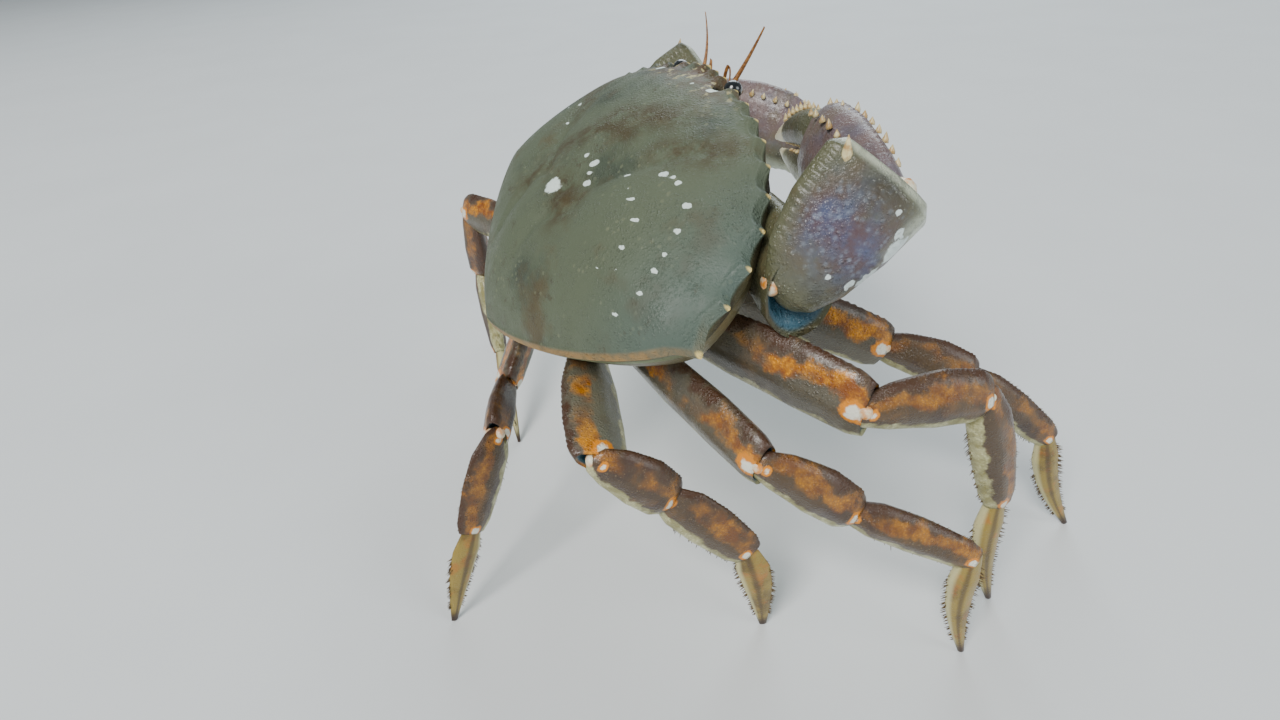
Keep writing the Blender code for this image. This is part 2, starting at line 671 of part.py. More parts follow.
def shade(obj):
    """Shade a piece smooth with its sharp edges kept."""
    obj.data.shade_smooth()
    obj.data.set_sharp_from_angle(angle=math.radians(40.0))


def centre_on_origin():
    """Slide the finished crab over the floor until its box is centred."""
    corners = [obj.matrix_world @ Vector(corner) for obj in CRAB.objects
               if obj.type == "MESH" for corner in obj.bound_box]
    low_x = min(corner.x for corner in corners)
    high_x = max(corner.x for corner in corners)
    low_y = min(corner.y for corner in corners)
    high_y = max(corner.y for corner in corners)
    shift = Vector(((low_x + high_x) * 0.5, (low_y + high_y) * 0.5, 0.0))
    for obj in CRAB.objects:
        if obj.parent is None:
            obj.location -= shift
    bpy.context.view_layer.update()


def main():
    """Build every piece of the crab."""
    rng = random.Random(17)
    frame = bpy.data.objects.new("body_frame", None)
    CRAB.objects.link(frame)
    frame.matrix_world = BODY_MATRIX
    bpy.context.view_layer.update()
    shell = make_carapace(frame, rng)
    underbody = make_underbody(frame)
    limbs = []
    for side, word in ((1.0, "right"), (-1.0, "left")):
        limbs += make_claw_arm(f"{word}_claw_arm", "claw_arm", side, underbody, rng)[:1]
        for number in range(1, 5):
            kind = f"leg_{number}"
            limbs += make_leg(f"{word}_{kind}", kind, side, underbody)[:1]
    trim_to_shell(underbody)
    for merus in limbs:
        clear_for(underbody, merus)
        clear_for(shell, merus)
    make_flap(frame, underbody)
    for side, word in ((1.0, "right"), (-1.0, "left")):
        make_mouth_plate(frame, side, f"{word}_mouth_plate", underbody)
        eye = make_eye(frame, side, f"{word}_eye")
        clear_for(underbody, eye)
        clear_for(shell, eye)
        make_feeler(frame, side, f"{word}_antenna")
    for obj in list(CRAB.objects):
        if obj.type == "MESH":
            shade(obj)
    centre_on_origin()


for old_object in list(bpy.data.objects):
    bpy.data.objects.remove(old_object)

CRAB = make_collection("dungeness_crab")
CUTTERS = make_collection("cutters")
MATS = make_materials()
BODY_MATRIX = Matrix.Translation((0.0, 0.0, BODY_HEIGHT)) @ Matrix.Rotation(NOSE_UP, 4, "X")

main()
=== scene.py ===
"""Looks of the Dungeness crab: fine shells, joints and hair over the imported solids.

The file is laid out as an add-on and run as a script.  Each operator makes one
piece or one group of like pieces at its place in the part's own frame.
"""

import math
import random

import bmesh
import bpy
import numpy as np
from mathutils import Matrix, Vector


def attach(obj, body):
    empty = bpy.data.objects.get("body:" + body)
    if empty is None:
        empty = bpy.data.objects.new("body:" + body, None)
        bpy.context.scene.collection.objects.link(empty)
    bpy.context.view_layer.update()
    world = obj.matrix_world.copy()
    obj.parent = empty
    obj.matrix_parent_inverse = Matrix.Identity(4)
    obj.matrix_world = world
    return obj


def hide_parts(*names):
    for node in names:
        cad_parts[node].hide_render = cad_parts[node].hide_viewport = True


bl_info = {
    "name": "Dungeness crab looks",
    "version": (1, 0, 0),
    "blender": (4, 5, 0),
    "location": "3D View > Sidebar > Crab",
    "description": "Builds the shells, joints, hair and stage of a still crab model",
    "category": "Add Mesh",
}

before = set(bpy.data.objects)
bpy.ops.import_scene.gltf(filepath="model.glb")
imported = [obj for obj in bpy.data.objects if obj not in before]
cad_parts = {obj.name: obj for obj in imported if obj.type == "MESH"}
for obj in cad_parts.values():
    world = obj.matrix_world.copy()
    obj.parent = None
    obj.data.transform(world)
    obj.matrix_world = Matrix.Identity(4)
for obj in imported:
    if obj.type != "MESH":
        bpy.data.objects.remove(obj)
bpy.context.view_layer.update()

MM = 0.001
UP = Vector((0.0, 0.0, 1.0))

# Body frame: the middle of the carapace margin, tipped nose up.
BODY_AT = (0.0192305, -0.0259198, 0.118)
BODY = Matrix.Translation(BODY_AT) @ Matrix.Rotation(math.radians(36.0), 4, "X")
SHELL_WIDTH = 0.170

# Carapace outline and dome, in carapace widths.
CENTRE_Y = -0.05
HALF_WIDTH = 0.480
FRONT_DEPTH = 0.352
REAR_DEPTH = 0.270
FRONT_POWER = 2.05
REAR_POWER = 1.35
FRONT_RISE = 0.050
RIM_DROP = 0.032
RIM_INSET = 0.955
FIRST_TOOTH_ANGLE = 68.3
TOOTH_ANGLE_STEP = 7.52
EYE_PLACE = (0.108, 0.298, 0.040)

# Teeth of the margin: reach in carapace widths, half width and lean in degrees.
TOOTH_REACH = 0.0150
TOOTH_HALF_WIDTH = 3.0
TOOTH_LEAN = 24.0
SIDE_SPINE_REACH = 0.038
SIDE_SPINE_HALF_WIDTH = 4.6
SIDE_SPINE_LEAN = -8.0
FRONT_TOOTH_HALF_WIDTH = 2.6
FRONT_TEETH = ((0.074, 0.015), (0.036, 0.018), (0.0, 0.020))
ORBIT_HALF_WIDTH = 1.9
ORBIT_DEPTH = 0.028

# Swellings of the back: height, side, forward, half width and half length.
SWELLINGS = ((0.0060, 0.11, 0.15, 0.06, 0.07), (0.0055, 0.27, -0.01, 0.11, 0.09),
             (0.0040, 0.24, 0.19, 0.06, 0.05), (0.0050, 0.0, -0.12, 0.07, 0.06),
             (0.0050, 0.0, 0.06, 0.06, 0.10))
# Grooves of the back: their line, depth and half width.
GROOVES = ((((0.05, -0.03), (0.12, 0.02), (0.19, 0.09), (0.25, 0.17)), 0.0060, 0.016),
           (((0.055, -0.02), (0.075, -0.09), (0.06, -0.17)), 0.0050, 0.013))

# Underbody, tail flap and mouth plates, in carapace widths unless said.
BOWL_SPREAD = 0.925
BOWL_DEPTH = 0.128
BELLY_SEAMS = (((0.0, 0.16), (0.0, -0.25)), ((0.06, 0.10), (0.24, 0.13)),
               ((0.07, 0.03), (0.26, 0.03)), ((0.075, -0.05), (0.24, -0.07)),
               ((0.07, -0.13), (0.19, -0.17)), ((0.10, 0.27), (0.26, 0.20), (0.40, 0.06)))
SEAM_HALF_WIDTH = 0.006
SEAM_DEPTH = 0.0006
FLAP_RINGS = 6.0
FLAP_SIZE = (0.0060, 0.026)
MOUTH_START = (0.042, 0.145, -0.142)
MOUTH_END = (0.042, 0.272, -0.095)
MOUTH_SIZE = (0.0046, 0.0138)
MOUTH_LINE = 0.60
BODY_VOXEL = 0.0009
PALM_VOXEL = 0.00055

# Limb roots in body millimetres: side, forward and up.
COXA = {
    "claw_arm": (35.0, 27.0, -16.0),
    "leg_1": (41.0, 5.0, -20.0),
    "leg_2": (41.0, -10.0, -19.0),
    "leg_3": (37.0, -24.0, -18.5),
    "leg_4": (28.0, -35.0, -17.0),
}

# Lengths, depths and widths of merus, carpus, propodus (palm) and dactyl in millimetres.
LENGTHS = {
    "claw_arm": (42.0, 34.0, 46.0, 44.0),
    "leg_1": (62.0, 31.0, 40.0, 44.0),
    "leg_2": (66.0, 33.0, 43.0, 47.0),
    "leg_3": (60.0, 30.0, 39.0, 43.0),
    "leg_4": (46.0, 25.0, 33.0, 35.0),
}
DEPTHS = {
    "claw_arm": (27.0, 29.0, 31.0, 12.5),
    "leg_1": (17.5, 15.0, 12.0, 8.6),
    "leg_2": (21.0, 17.0, 12.5, 8.8),
    "leg_3": (17.5, 15.0, 12.0, 8.4),
    "leg_4": (18.5, 16.5, 16.5, 10.5),
}
WIDTHS = {
    "claw_arm": (19.0, 24.0, 18.5, 8.5),
    "leg_1": (10.0, 10.0, 8.2, 6.0),
    "leg_2": (10.5, 10.5, 8.6, 6.2),
    "leg_3": (10.0, 10.0, 8.2, 6.0),
    "leg_4": (9.0, 9.0, 6.2, 4.2),
}

# Direction of each piece: compass angle from +Y towards +X, then rise, in degrees.
ANGLES = {
    "right_claw_arm": ((98, -4), (3, 47), (-76, 2), (-78, -10)),
    "right_leg_1": ((22, -29), (26, -27), (26, -45), (26, -70)),
    "right_leg_2": ((61, -6), (9, -5), (15, -73), (17, -81)),
    "right_leg_3": ((74, -10), (22, -37), (27, -26), (30, -84)),
    "right_leg_4": ((105, -9), (11, -45), (24, -45), (25, -80)),
    "left_claw_arm": ((-74, -2), (-5, 22), (50, -14), (74, -20)),
    "left_leg_1": ((-64, -10), (-60, -32), (-58, -66), (-58, -80)),
    "left_leg_2": ((-88, 1), (-96, -32), (-97, -70), (-98, -82)),
    "left_leg_3": ((-115, -7), (-96, -95), (-86, -135), (-84, -140)),
    "left_leg_4": ((128, -28), (112, -7), (148, -58), (155, -65)),
}
MERUS_TURNS = {"right_leg_4": 60.0, "left_leg_4": -25.0}
PALM_DROP = 0.010
CARPUS_KEEL = 0.38
# Pale scars of the claw's carpus: station, height and half width.
CARPUS_SCARS = ((0.68, -0.50, 0.120), (0.44, -0.60, 0.100), (0.76, -0.24, 0.05),
                (0.34, -0.36, 0.05), (0.84, 0.10, 0.03), (0.30, 0.20, 0.03))
# Thorn rows of the palm as place across and count, then counts along the fingers.
PALM_THORN_ROWS = ((0.0, 9), (0.32, 8), (-0.32, 8))
FINGER_THORNS = 9
FINGER_TEETH = 8
CARPUS_SPINE_PLACE = (0.15, 0.56, 0.86)
CARPUS_SPINE_REACH = (0.001, 0.0040, 0.0045)
FOOT_SINK = 0.0004

# Station along a piece, then its size there.
PROFILES = {
    "merus": ((0.0, 0.24), (0.03, 0.44), (0.16, 0.70), (0.42, 0.94), (0.72, 1.0),
              (0.95, 0.94), (1.0, 0.78)),
    "carpus": ((0.0, 0.26), (0.05, 0.52), (0.26, 0.80), (0.62, 1.0), (0.92, 0.92),
               (1.0, 0.72)),
    "cup": ((0.0, 0.24), (0.03, 0.44), (0.16, 0.70), (0.42, 0.94), (0.72, 1.0), (0.95, 1.04),
            (1.0, 0.98)),
    "wrist": ((0.0, 0.26), (0.05, 0.50), (0.26, 0.80), (0.58, 1.0), (0.92, 1.05), (1.0, 0.86)),
    "propodus": ((0.0, 0.28), (0.05, 0.58), (0.26, 0.96), (0.55, 1.0), (0.90, 0.84),
                 (1.0, 0.64)),
    "dactyl": ((0.0, 0.34), (0.05, 0.66), (0.25, 1.0), (0.50, 0.84), (0.74, 0.56),
               (0.92, 0.33), (1.0, 0.22)),
    "palm": ((0.0, 0.48), (0.03, 0.60), (0.10, 0.70), (0.28, 0.85), (0.55, 0.98),
             (0.80, 1.0), (0.95, 0.88), (1.0, 0.70)),
    "finger": ((0.0, 0.60), (0.06, 0.86), (0.22, 1.0), (0.45, 0.86), (0.68, 0.64),
               (0.88, 0.38), (1.0, 0.14)),
    "flap": ((0.0, 0.70), (0.04, 0.90), (0.16, 1.0), (0.34, 0.86), (0.52, 0.66),
             (0.70, 0.54), (0.88, 0.42), (1.0, 0.24)),
    "mouth": ((0.0, 0.55), (0.08, 0.80), (0.35, 1.0), (0.65, 0.98), (0.90, 0.80), (1.0, 0.55)),
    "coxa": ((0.0, 0.9), (0.3, 1.0), (0.7, 1.0), (0.9, 0.92), (1.0, 0.72)),
}


# Bristles of a leg: piece number, part, first and last station, count on each edge.
BRISTLE_ROWS = ((2, "propodus", 0.25, 0.97, 46), (3, "dactyl", 0.06, 0.86, 80))
BRISTLE_RADIUS = 0.00016
# Leg pieces: part, bow, keel and share of length that reaches back into the joint.
LEG_PIECES = (("merus", 0.02, 0.10, 0.08), ("carpus", 0.03, 0.12, 0.14),
              ("propodus", 0.01, 0.10, 0.10), ("dactyl", -0.06, 0.06, 0.08))
REAR_DACTYL_BOW = 0.03
# Joint skins: shares of width, depth and depth for their half sizes.
SKIN_SHARES = (0.24, 0.28, 0.20)
EYE_WAY = (0.75, 0.55, 0.45)

# Lamps as name, place, side length, share of the key power and tint.
LAMPS = (("key_lamp", (1.35, -1.90, 2.65), 1.35, 1.0, (1.0, 0.98, 0.95)),
         ("fill_lamp", (-2.15, 1.40, 1.90), 2.2, 0.45, (0.85, 0.95, 1.0)),
         ("side_lamp", (2.40, 1.90, 1.40), 1.7, 0.30, (0.95, 1.0, 1.0)))
LAMP_TARGET = (0.02, 0.0, 0.10)
SKY_COLOUR = (0.80, 0.90, 0.95, 1.0)
# Camera: place from the body's middle in metres, then its turns in degrees.
CAMERA_OFFSET = (0.2106, -0.0644, 0.0871)
CAMERA_TURN = (55.92, 3.73, 68.48)


def smooth_step(value, low, high):
    """Return 0 below low, 1 above high and a soft rise between."""
    share = np.clip((value - low) / (high - low), 0.0, 1.0)
    return share * share * (3.0 - 2.0 * share)


def activate(piece):
    """Make one object the only selected and active one."""
    bpy.ops.object.select_all(action="DESELECT")
    piece.select_set(True)
    bpy.context.view_layer.objects.active = piece


def pick(piece, kind, test):
    """Select in edit mode only the items of one kind that pass a test."""
    bpy.ops.mesh.select_mode(type=kind)
    bpy.ops.mesh.select_all(action="DESELECT")
    bm = bmesh.from_edit_mesh(piece.data)
    items = {"VERT": bm.verts, "EDGE": bm.edges, "FACE": bm.faces}[kind]
    for item in items:
        if test(item):
            item.select_set(True)
    bmesh.update_edit_mesh(piece.data)


def points_of(piece):
    """Return the piece's points as an array."""
    points = np.empty(len(piece.data.vertices) * 3)
    piece.data.vertices.foreach_get("co", points)
    return points.reshape(-1, 3)


def normals_of(piece):
    """Return the piece's point normals as an array."""
    normals = np.empty(len(piece.data.vertices) * 3)
    piece.data.vertices.foreach_get("normal", normals)
    return normals.reshape(-1, 3)


def set_points(piece, points):
    """Move the piece's points to the rows of an array."""
    piece.data.vertices.foreach_set("co", np.asarray(points, float).ravel())
    piece.data.update()


def set_mask(piece, name, values):
    """Store one number a point for the materials to read."""
    layer = piece.data.attributes.get(name)
    if layer is None:
        layer = piece.data.attributes.new(name, "FLOAT", "POINT")
    layer.data.foreach_set("value", np.asarray(values, np.float32).ravel())


def modify(piece, kind, **values):
    """Add one modifier with its values and apply it."""
    activate(piece)
    made = piece.modifiers.new(kind.lower(), kind)
    for name, value in values.items():
        setattr(made, name, value)
    bpy.ops.object.modifier_apply(modifier=made.name)


def join(name, pieces):
    """Join a list of pieces into one object and return it."""
    bpy.ops.object.select_all(action="DESELECT")
    for piece in pieces:
        piece.select_set(True)
    bpy.context.view_layer.objects.active = pieces[0]
    if len(pieces) > 1:
        bpy.ops.object.join()
    pieces[0].name = name
    pieces[0].data.name = name
    return pieces[0]


def to_place(piece, matrix):
    """Set a piece at its place and put that place into its points."""
    activate(piece)
    piece.matrix_world = matrix
    bpy.ops.object.transform_apply(location=True, rotation=True, scale=True)


def finish_piece(piece, finish, *nodes):
    """Give a piece its finish and smooth shading, hang it on the root and hide the solids of the nodes
    that it stands for.
    """
    piece.data.materials.clear()
    piece.data.materials.append(finish)
    activate(piece)
    bpy.ops.object.shade_smooth()
    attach(piece, "root")
    if nodes:
        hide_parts(*nodes)
    return piece


def profile_size(name, station):
    """Return a profile's size at each station, rounded between its steps."""
    steps = np.array(PROFILES[name])
    dense = np.linspace(-0.04, 1.04, 109)
    sizes = np.interp(dense, steps[:, 0], steps[:, 1])
    soft = np.convolve(np.pad(sizes, 2, mode="edge"), (0.1, 0.2, 0.4, 0.2, 0.1), "valid")
    return np.interp(station, dense, soft)


def add_tube(name, sides, rings):
    """Add a unit tube along Z with rings to shape and stepped caps."""
    bpy.ops.object.select_all(action="DESELECT")
    bpy.ops.mesh.primitive_cylinder_add(vertices=sides, radius=1.0, depth=1.0)
    piece = bpy.context.active_object
    piece.name = name
    piece.data.name = name
    bpy.ops.object.mode_set(mode="EDIT")
    pick(piece, "EDGE", lambda edge: abs(edge.verts[0].co.z - edge.verts[1].co.z) > 0.5)
    bpy.ops.mesh.subdivide(number_cuts=rings - 2)
    pick(piece, "FACE", lambda face: abs(face.normal.z) > 0.9)
    bpy.ops.mesh.inset(thickness=0.25, use_individual=True)
    bpy.ops.mesh.inset(thickness=0.35, use_individual=True)
    bpy.ops.mesh.poke()
    bpy.ops.object.mode_set(mode="OBJECT")
    return piece


def shape_tube(piece, profile, length, depth, width, bow=0.0, keel=0.0, under=0.1,
               relief=None, cap=0.35, cup=None, edge=2.0):
    """Give a unit tube its limb form and masks; an edge under 2 makes it lens-shaped."""
    unit = points_of(piece)
    reach = np.hypot(unit[:, 0], unit[:, 1])
    turn = np.arctan2(unit[:, 1], unit[:, 0])
    station = unit[:, 2] + 0.5
    size = profile_size(profile, station)
    swell = np.ones_like(size)
    if relief is not None:
        swell = swell + relief(station, turn)
    back = length * under
    keen = (np.abs(np.cos(turn)) ** edge + np.abs(np.sin(turn)) ** edge) ** (-1.0 / edge)
    x = np.cos(turn) * keen * reach * 0.5 * width * size * swell
    y = np.sin(turn) * keen * reach * 0.5 * depth * size * swell
    upper = np.sin(turn) * reach
    y = np.where(upper > 0.0, y * (1.0 + keel * (1.0 - np.abs(np.cos(turn) * reach))), y)
    x = np.where(upper > 0.0, x * (1.0 - 0.2 * keel * upper), x)
    y = y + bow * length * np.sin(math.pi * np.clip(station, 0.0, 1.0))
    z = -back + (length + back) * station
    round_end = 0.5 * min(width, depth) * size * (1.0 - np.minimum(reach, 1.0) ** 2)
    z = z + np.where(station > 0.5, cap if cup is None else -cup, -cap) * round_end
    set_points(piece, np.stack((x, y, z), axis=1))
    set_mask(piece, "along", station)
    set_mask(piece, "upper", upper)
    set_mask(piece, "outer", np.cos(turn) * reach)
    inside = (station > 0.5) * smooth_step(-reach, -0.90, -0.74)
    set_mask(piece, "hollow", inside * (cup is not None))
    ends = np.maximum(np.exp(-((station - 0.97) / 0.060) ** 2),
                      0.8 * np.exp(-((station - 0.10) / 0.045) ** 2))
    set_mask(piece, "hinge", ends * np.exp(-((np.sin(turn) - 0.15) / 0.42) ** 2))
    return station, turn


def line_matrix(start, way, depth_way):
    """Return the placement of a piece that runs along way, its depth near depth_way."""
    across = depth_way.cross(way).normalized()
    up = way.cross(across).normalized()
    turn = Matrix((across, up, way.normalized())).transposed().to_4x4()
    return Matrix.Translation(start) @ turn


def bearing(compass, rise):
    """Return the unit direction of a compass angle and a rise in degrees."""
    turn = math.radians(compass)
    lift = math.radians(rise)
    flat = math.cos(lift)
    return Vector((math.sin(turn) * flat, math.cos(turn) * flat, math.sin(lift)))


def piece_up(name, number, way):
    """Return the side of a limb piece that faces up, its merus turned as in the solids."""
    turn = math.radians(MERUS_TURNS.get(name, 0.0)) if number == 0 else 0.0
    tucked = ANGLES[name][number][1] < -90.0
    return Matrix.Rotation(turn, 3, way) @ (-UP if tucked else UP)


def limb_chain(name, kind, side):
    """Return the joints, directions and lengths of one limb, as the solids have them."""
    root = COXA[kind]
    start = BODY @ (Vector((side * root[0], root[1], root[2])) * MM)
    ways = [bearing(*pair) for pair in ANGLES[name]]
    lengths = [value * MM for value in LENGTHS[kind]]
    if kind != "claw_arm":
        lift = 0.0
        for _ in range(60):
            ways = [bearing(compass, rise + lift * share) for (compass, rise), share
                    in zip(ANGLES[name], (1.0, 1.0, 1.0, 0.35))]
            end = start.copy()
            for way, length in zip(ways, lengths):
                end += way * length
            lift -= math.degrees((end.z - FOOT_SINK) / 0.12) * 0.5
    joints = [start]
    for way, length in zip(ways, lengths):
        joints.append(joints[-1] + way * length)
    return joints, ways, lengths


def outline_radius(angle):
    """Return the margin's distance from the outline centre at each angle, in metres."""
    sine = np.sin(angle)
    front = sine >= 0.0
    power = np.where(front, FRONT_POWER, REAR_POWER)
    depth = np.where(front, FRONT_DEPTH, REAR_DEPTH)
    side = np.abs(np.cos(angle)) / HALF_WIDTH
    along = np.abs(sine) / depth
    return SHELL_WIDTH * (side ** power + along ** power) ** (-1.0 / power)


def front_lift(angle, reach):
    """Return how far the shell curves up towards its front margin, in metres."""
    rise = np.maximum(0.0, np.sin(angle)) ** 1.5 * np.minimum(reach, 1.0) ** 2
    return FRONT_RISE * SHELL_WIDTH * rise


def dome_height(angle, reach):
    """Return the height of the back over its margin, in metres."""
    share = np.minimum(reach, 1.0)
    base = 0.118 * np.maximum(0.0, 1.0 - share ** 2.4) ** 0.72
    x = share * np.cos(angle)
    y = share * np.sin(angle)
    groove = 0.010 * np.exp(-((np.abs(x) - 0.25 - 0.25 * y) / 0.06) ** 2)
    groove *= np.exp(-((y - 0.15) / 0.45) ** 2)
    cheek = 0.008 * np.exp(-(((np.abs(x) - 0.55) / 0.25) ** 2 + ((y + 0.1) / 0.4) ** 2))
    middle = 0.006 * np.exp(-((x / 0.2) ** 2 + ((y - 0.35) / 0.3) ** 2))
    return SHELL_WIDTH * (base + (cheek - groove) * (1.0 - share) + middle)


class Graph:
    """Short calls that add nodes to one node tree."""

    def __init__(self, tree):
        """Keep the tree that the calls work on."""
        self.tree = tree

    def node(self, kind, **values):
        """Add a node of a kind and set its values."""
        made = self.tree.nodes.new(kind)
        for name, value in values.items():
            setattr(made, name, value)
        return made

    def feed(self, socket, value):
        """Link a socket to an input, or set the input to a value."""
        if isinstance(value, bpy.types.NodeSocket):
            self.tree.links.new(value, socket)
        else:
            socket.default_value = value

    def mask(self, name):
        """Read a mask that is kept on the mesh."""
        return self.node("ShaderNodeAttribute", attribute_name=name).outputs["Fac"]

    def place(self):
        """Return the place on the object."""
        return self.node("ShaderNodeTexCoord").outputs["Object"]

    def noise(self, scale, detail=4.0, roughness=0.55, stretch=None):
        """Return cloudy noise, stretched along an axis where asked."""
        made = self.node("ShaderNodeTexNoise")
        vector = self.place()
        if stretch is not None:
            turn = self.node("ShaderNodeMapping")
            turn.inputs["Scale"].default_value = stretch
            self.feed(turn.inputs["Vector"], vector)
            vector = turn.outputs["Vector"]
        self.feed(made.inputs["Vector"], vector)
        self.feed(made.inputs["Scale"], scale)
        made.inputs["Detail"].default_value = detail
        made.inputs["Roughness"].default_value = roughness
        return made.outputs["Fac"]

    def cells(self, scale):
        """Return the distance from the middles of a pattern of cells."""
        made = self.node("ShaderNodeTexVoronoi")
        self.feed(made.inputs["Vector"], self.place())
        self.feed(made.inputs["Scale"], scale)
        return made.outputs["Distance"]

    def band(self, value, low, high, bottom=0.0, top=1.0):
        """Map a value smoothly from one range to another."""
        made = self.node("ShaderNodeMapRange", interpolation_type="SMOOTHSTEP")
        for name, item in (("Value", value), ("From Min", low), ("From Max", high),
                           ("To Min", bottom), ("To Max", top)):
            self.feed(made.inputs[name], item)
        return made.outputs["Result"]

    def math(self, operation, first, second=0.0):
        """Work out one sum on two values."""
        made = self.node("ShaderNodeMath", operation=operation)
        self.feed(made.inputs[0], first)
        self.feed(made.inputs[1], second)
        return made.outputs[0]

    def mix(self, share, first, second):
        """Mix two colours by a share."""
        made = self.node("ShaderNodeMix", data_type="RGBA")
        self.feed(made.inputs[0], share)
        self.feed(made.inputs[6], first)
        self.feed(made.inputs[7], second)
        return made.outputs[2]


def colour(red, green, blue):
    """Return a linear colour from screen values 0 to 255."""
    return tuple((value / 255.0) ** 2.2 for value in (red, green, blue)) + (1.0,)


def new_group(name, inputs, outputs):
    """Make a node group with named sockets and return it with its end nodes."""
    tree = bpy.data.node_groups.new(name, "ShaderNodeTree")
    for label, kind, default in inputs:
        made = tree.interface.new_socket(name=label, in_out="INPUT", socket_type=kind)
        made.default_value = default
    for label, kind in outputs:
        tree.interface.new_socket(name=label, in_out="OUTPUT", socket_type=kind)
    source = tree.nodes.new("NodeGroupInput")
    sink = tree.nodes.new("NodeGroupOutput")
    return tree, source, sink


FLOAT = "NodeSocketFloat"
COLOUR = "NodeSocketColor"


def make_mottle_group():
    """Patchy shell colour: ground, dark clouds, warm clouds and small flecks."""
    tree, source, sink = new_group(
        "shell_mottle",
        (("Ground", COLOUR, colour(120, 120, 100)), ("Cloud", COLOUR, colour(80, 70, 52)),
         ("Warm", COLOUR, colour(150, 90, 50)), ("Fleck", COLOUR, colour(190, 190, 170)),
         ("Size", FLOAT, 40.0), ("Cloud Amount", FLOAT, 0.5), ("Warm Amount", FLOAT, 0.3),
         ("Fleck Amount", FLOAT, 0.3)),
        (("Color", COLOUR),))
    graph = Graph(tree)
    size = source.outputs["Size"]
    cloud = graph.band(graph.noise(size, 5.0, 0.6), 0.48, 0.66)
    cloud = graph.math("MULTIPLY", cloud, source.outputs["Cloud Amount"])
    result = graph.mix(cloud, source.outputs["Ground"], source.outputs["Cloud"])
    warm = graph.band(graph.noise(graph.math("MULTIPLY", size, 1.9), 4.0, 0.6), 0.52, 0.70)
    warm = graph.math("MULTIPLY", warm, source.outputs["Warm Amount"])
    result = graph.mix(warm, result, source.outputs["Warm"])
    fleck = graph.band(graph.cells(graph.math("MULTIPLY", size, 18.0)), 0.16, 0.30, 1.0, 0.0)
    patch = graph.band(graph.noise(graph.math("MULTIPLY", size, 4.0), 3.0), 0.45, 0.62)
    fleck = graph.math("MULTIPLY", graph.math("MULTIPLY", fleck, patch),
                       source.outputs["Fleck Amount"])
    result = graph.mix(fleck, result, source.outputs["Fleck"])
    graph.feed(sink.inputs["Color"], result)
    return tree


def make_grain_group():
    """Height of a granular shell: round granules, pores and broad unevenness."""
    tree, source, sink = new_group(
        "shell_grain",
        (("Granules", FLOAT, 900.0), ("Granule Height", FLOAT, 1.0),
         ("Unevenness", FLOAT, 0.5)),
        (("Height", FLOAT),))
    graph = Graph(tree)
    scale = source.outputs["Granules"]
    big = graph.band(graph.cells(scale), 0.0, 0.55, 1.0, 0.0)
    small = graph.band(graph.cells(graph.math("MULTIPLY", scale, 2.3)), 0.0, 0.6, 0.45, 0.0)
    patch = graph.band(graph.noise(130.0, 3.0), 0.35, 0.65, 0.35, 1.0)
    grain = graph.math("MULTIPLY", graph.math("ADD", big, small), patch)
    grain = graph.math("MULTIPLY", grain, source.outputs["Granule Height"])
    broad = graph.math("MULTIPLY", graph.noise(220.0, 5.0), source.outputs["Unevenness"])
    graph.feed(sink.inputs["Height"], graph.math("ADD", grain, broad))
    return tree


def new_material(name, roughness, coat=0.0):
    """Return a new Principled material, its graph and its shader."""
    mat = bpy.data.materials.new(name)
    mat.use_nodes = True
    shader = mat.node_tree.nodes["Principled BSDF"]
    shader.inputs["Roughness"].default_value = roughness
    shader.inputs["Coat Weight"].default_value = coat
    shader.inputs["Coat Roughness"].default_value = 0.22
    return mat, Graph(mat.node_tree), shader


def place_group(graph, tree, **values):
    """Put a node group in a graph with its values and return its first output."""
    made = graph.node("ShaderNodeGroup", node_tree=tree)
    for name, value in values.items():
        graph.feed(made.inputs[name.replace("_", " ")], value)
    return made.outputs[0]


def add_bump(graph, shader, height, distance):
    """Feed a height to the shader's normal."""
    bump = graph.node("ShaderNodeBump")
    bump.inputs["Distance"].default_value = distance
    graph.feed(bump.inputs["Height"], height)
    graph.feed(shader.inputs["Normal"], bump.outputs["Normal"])


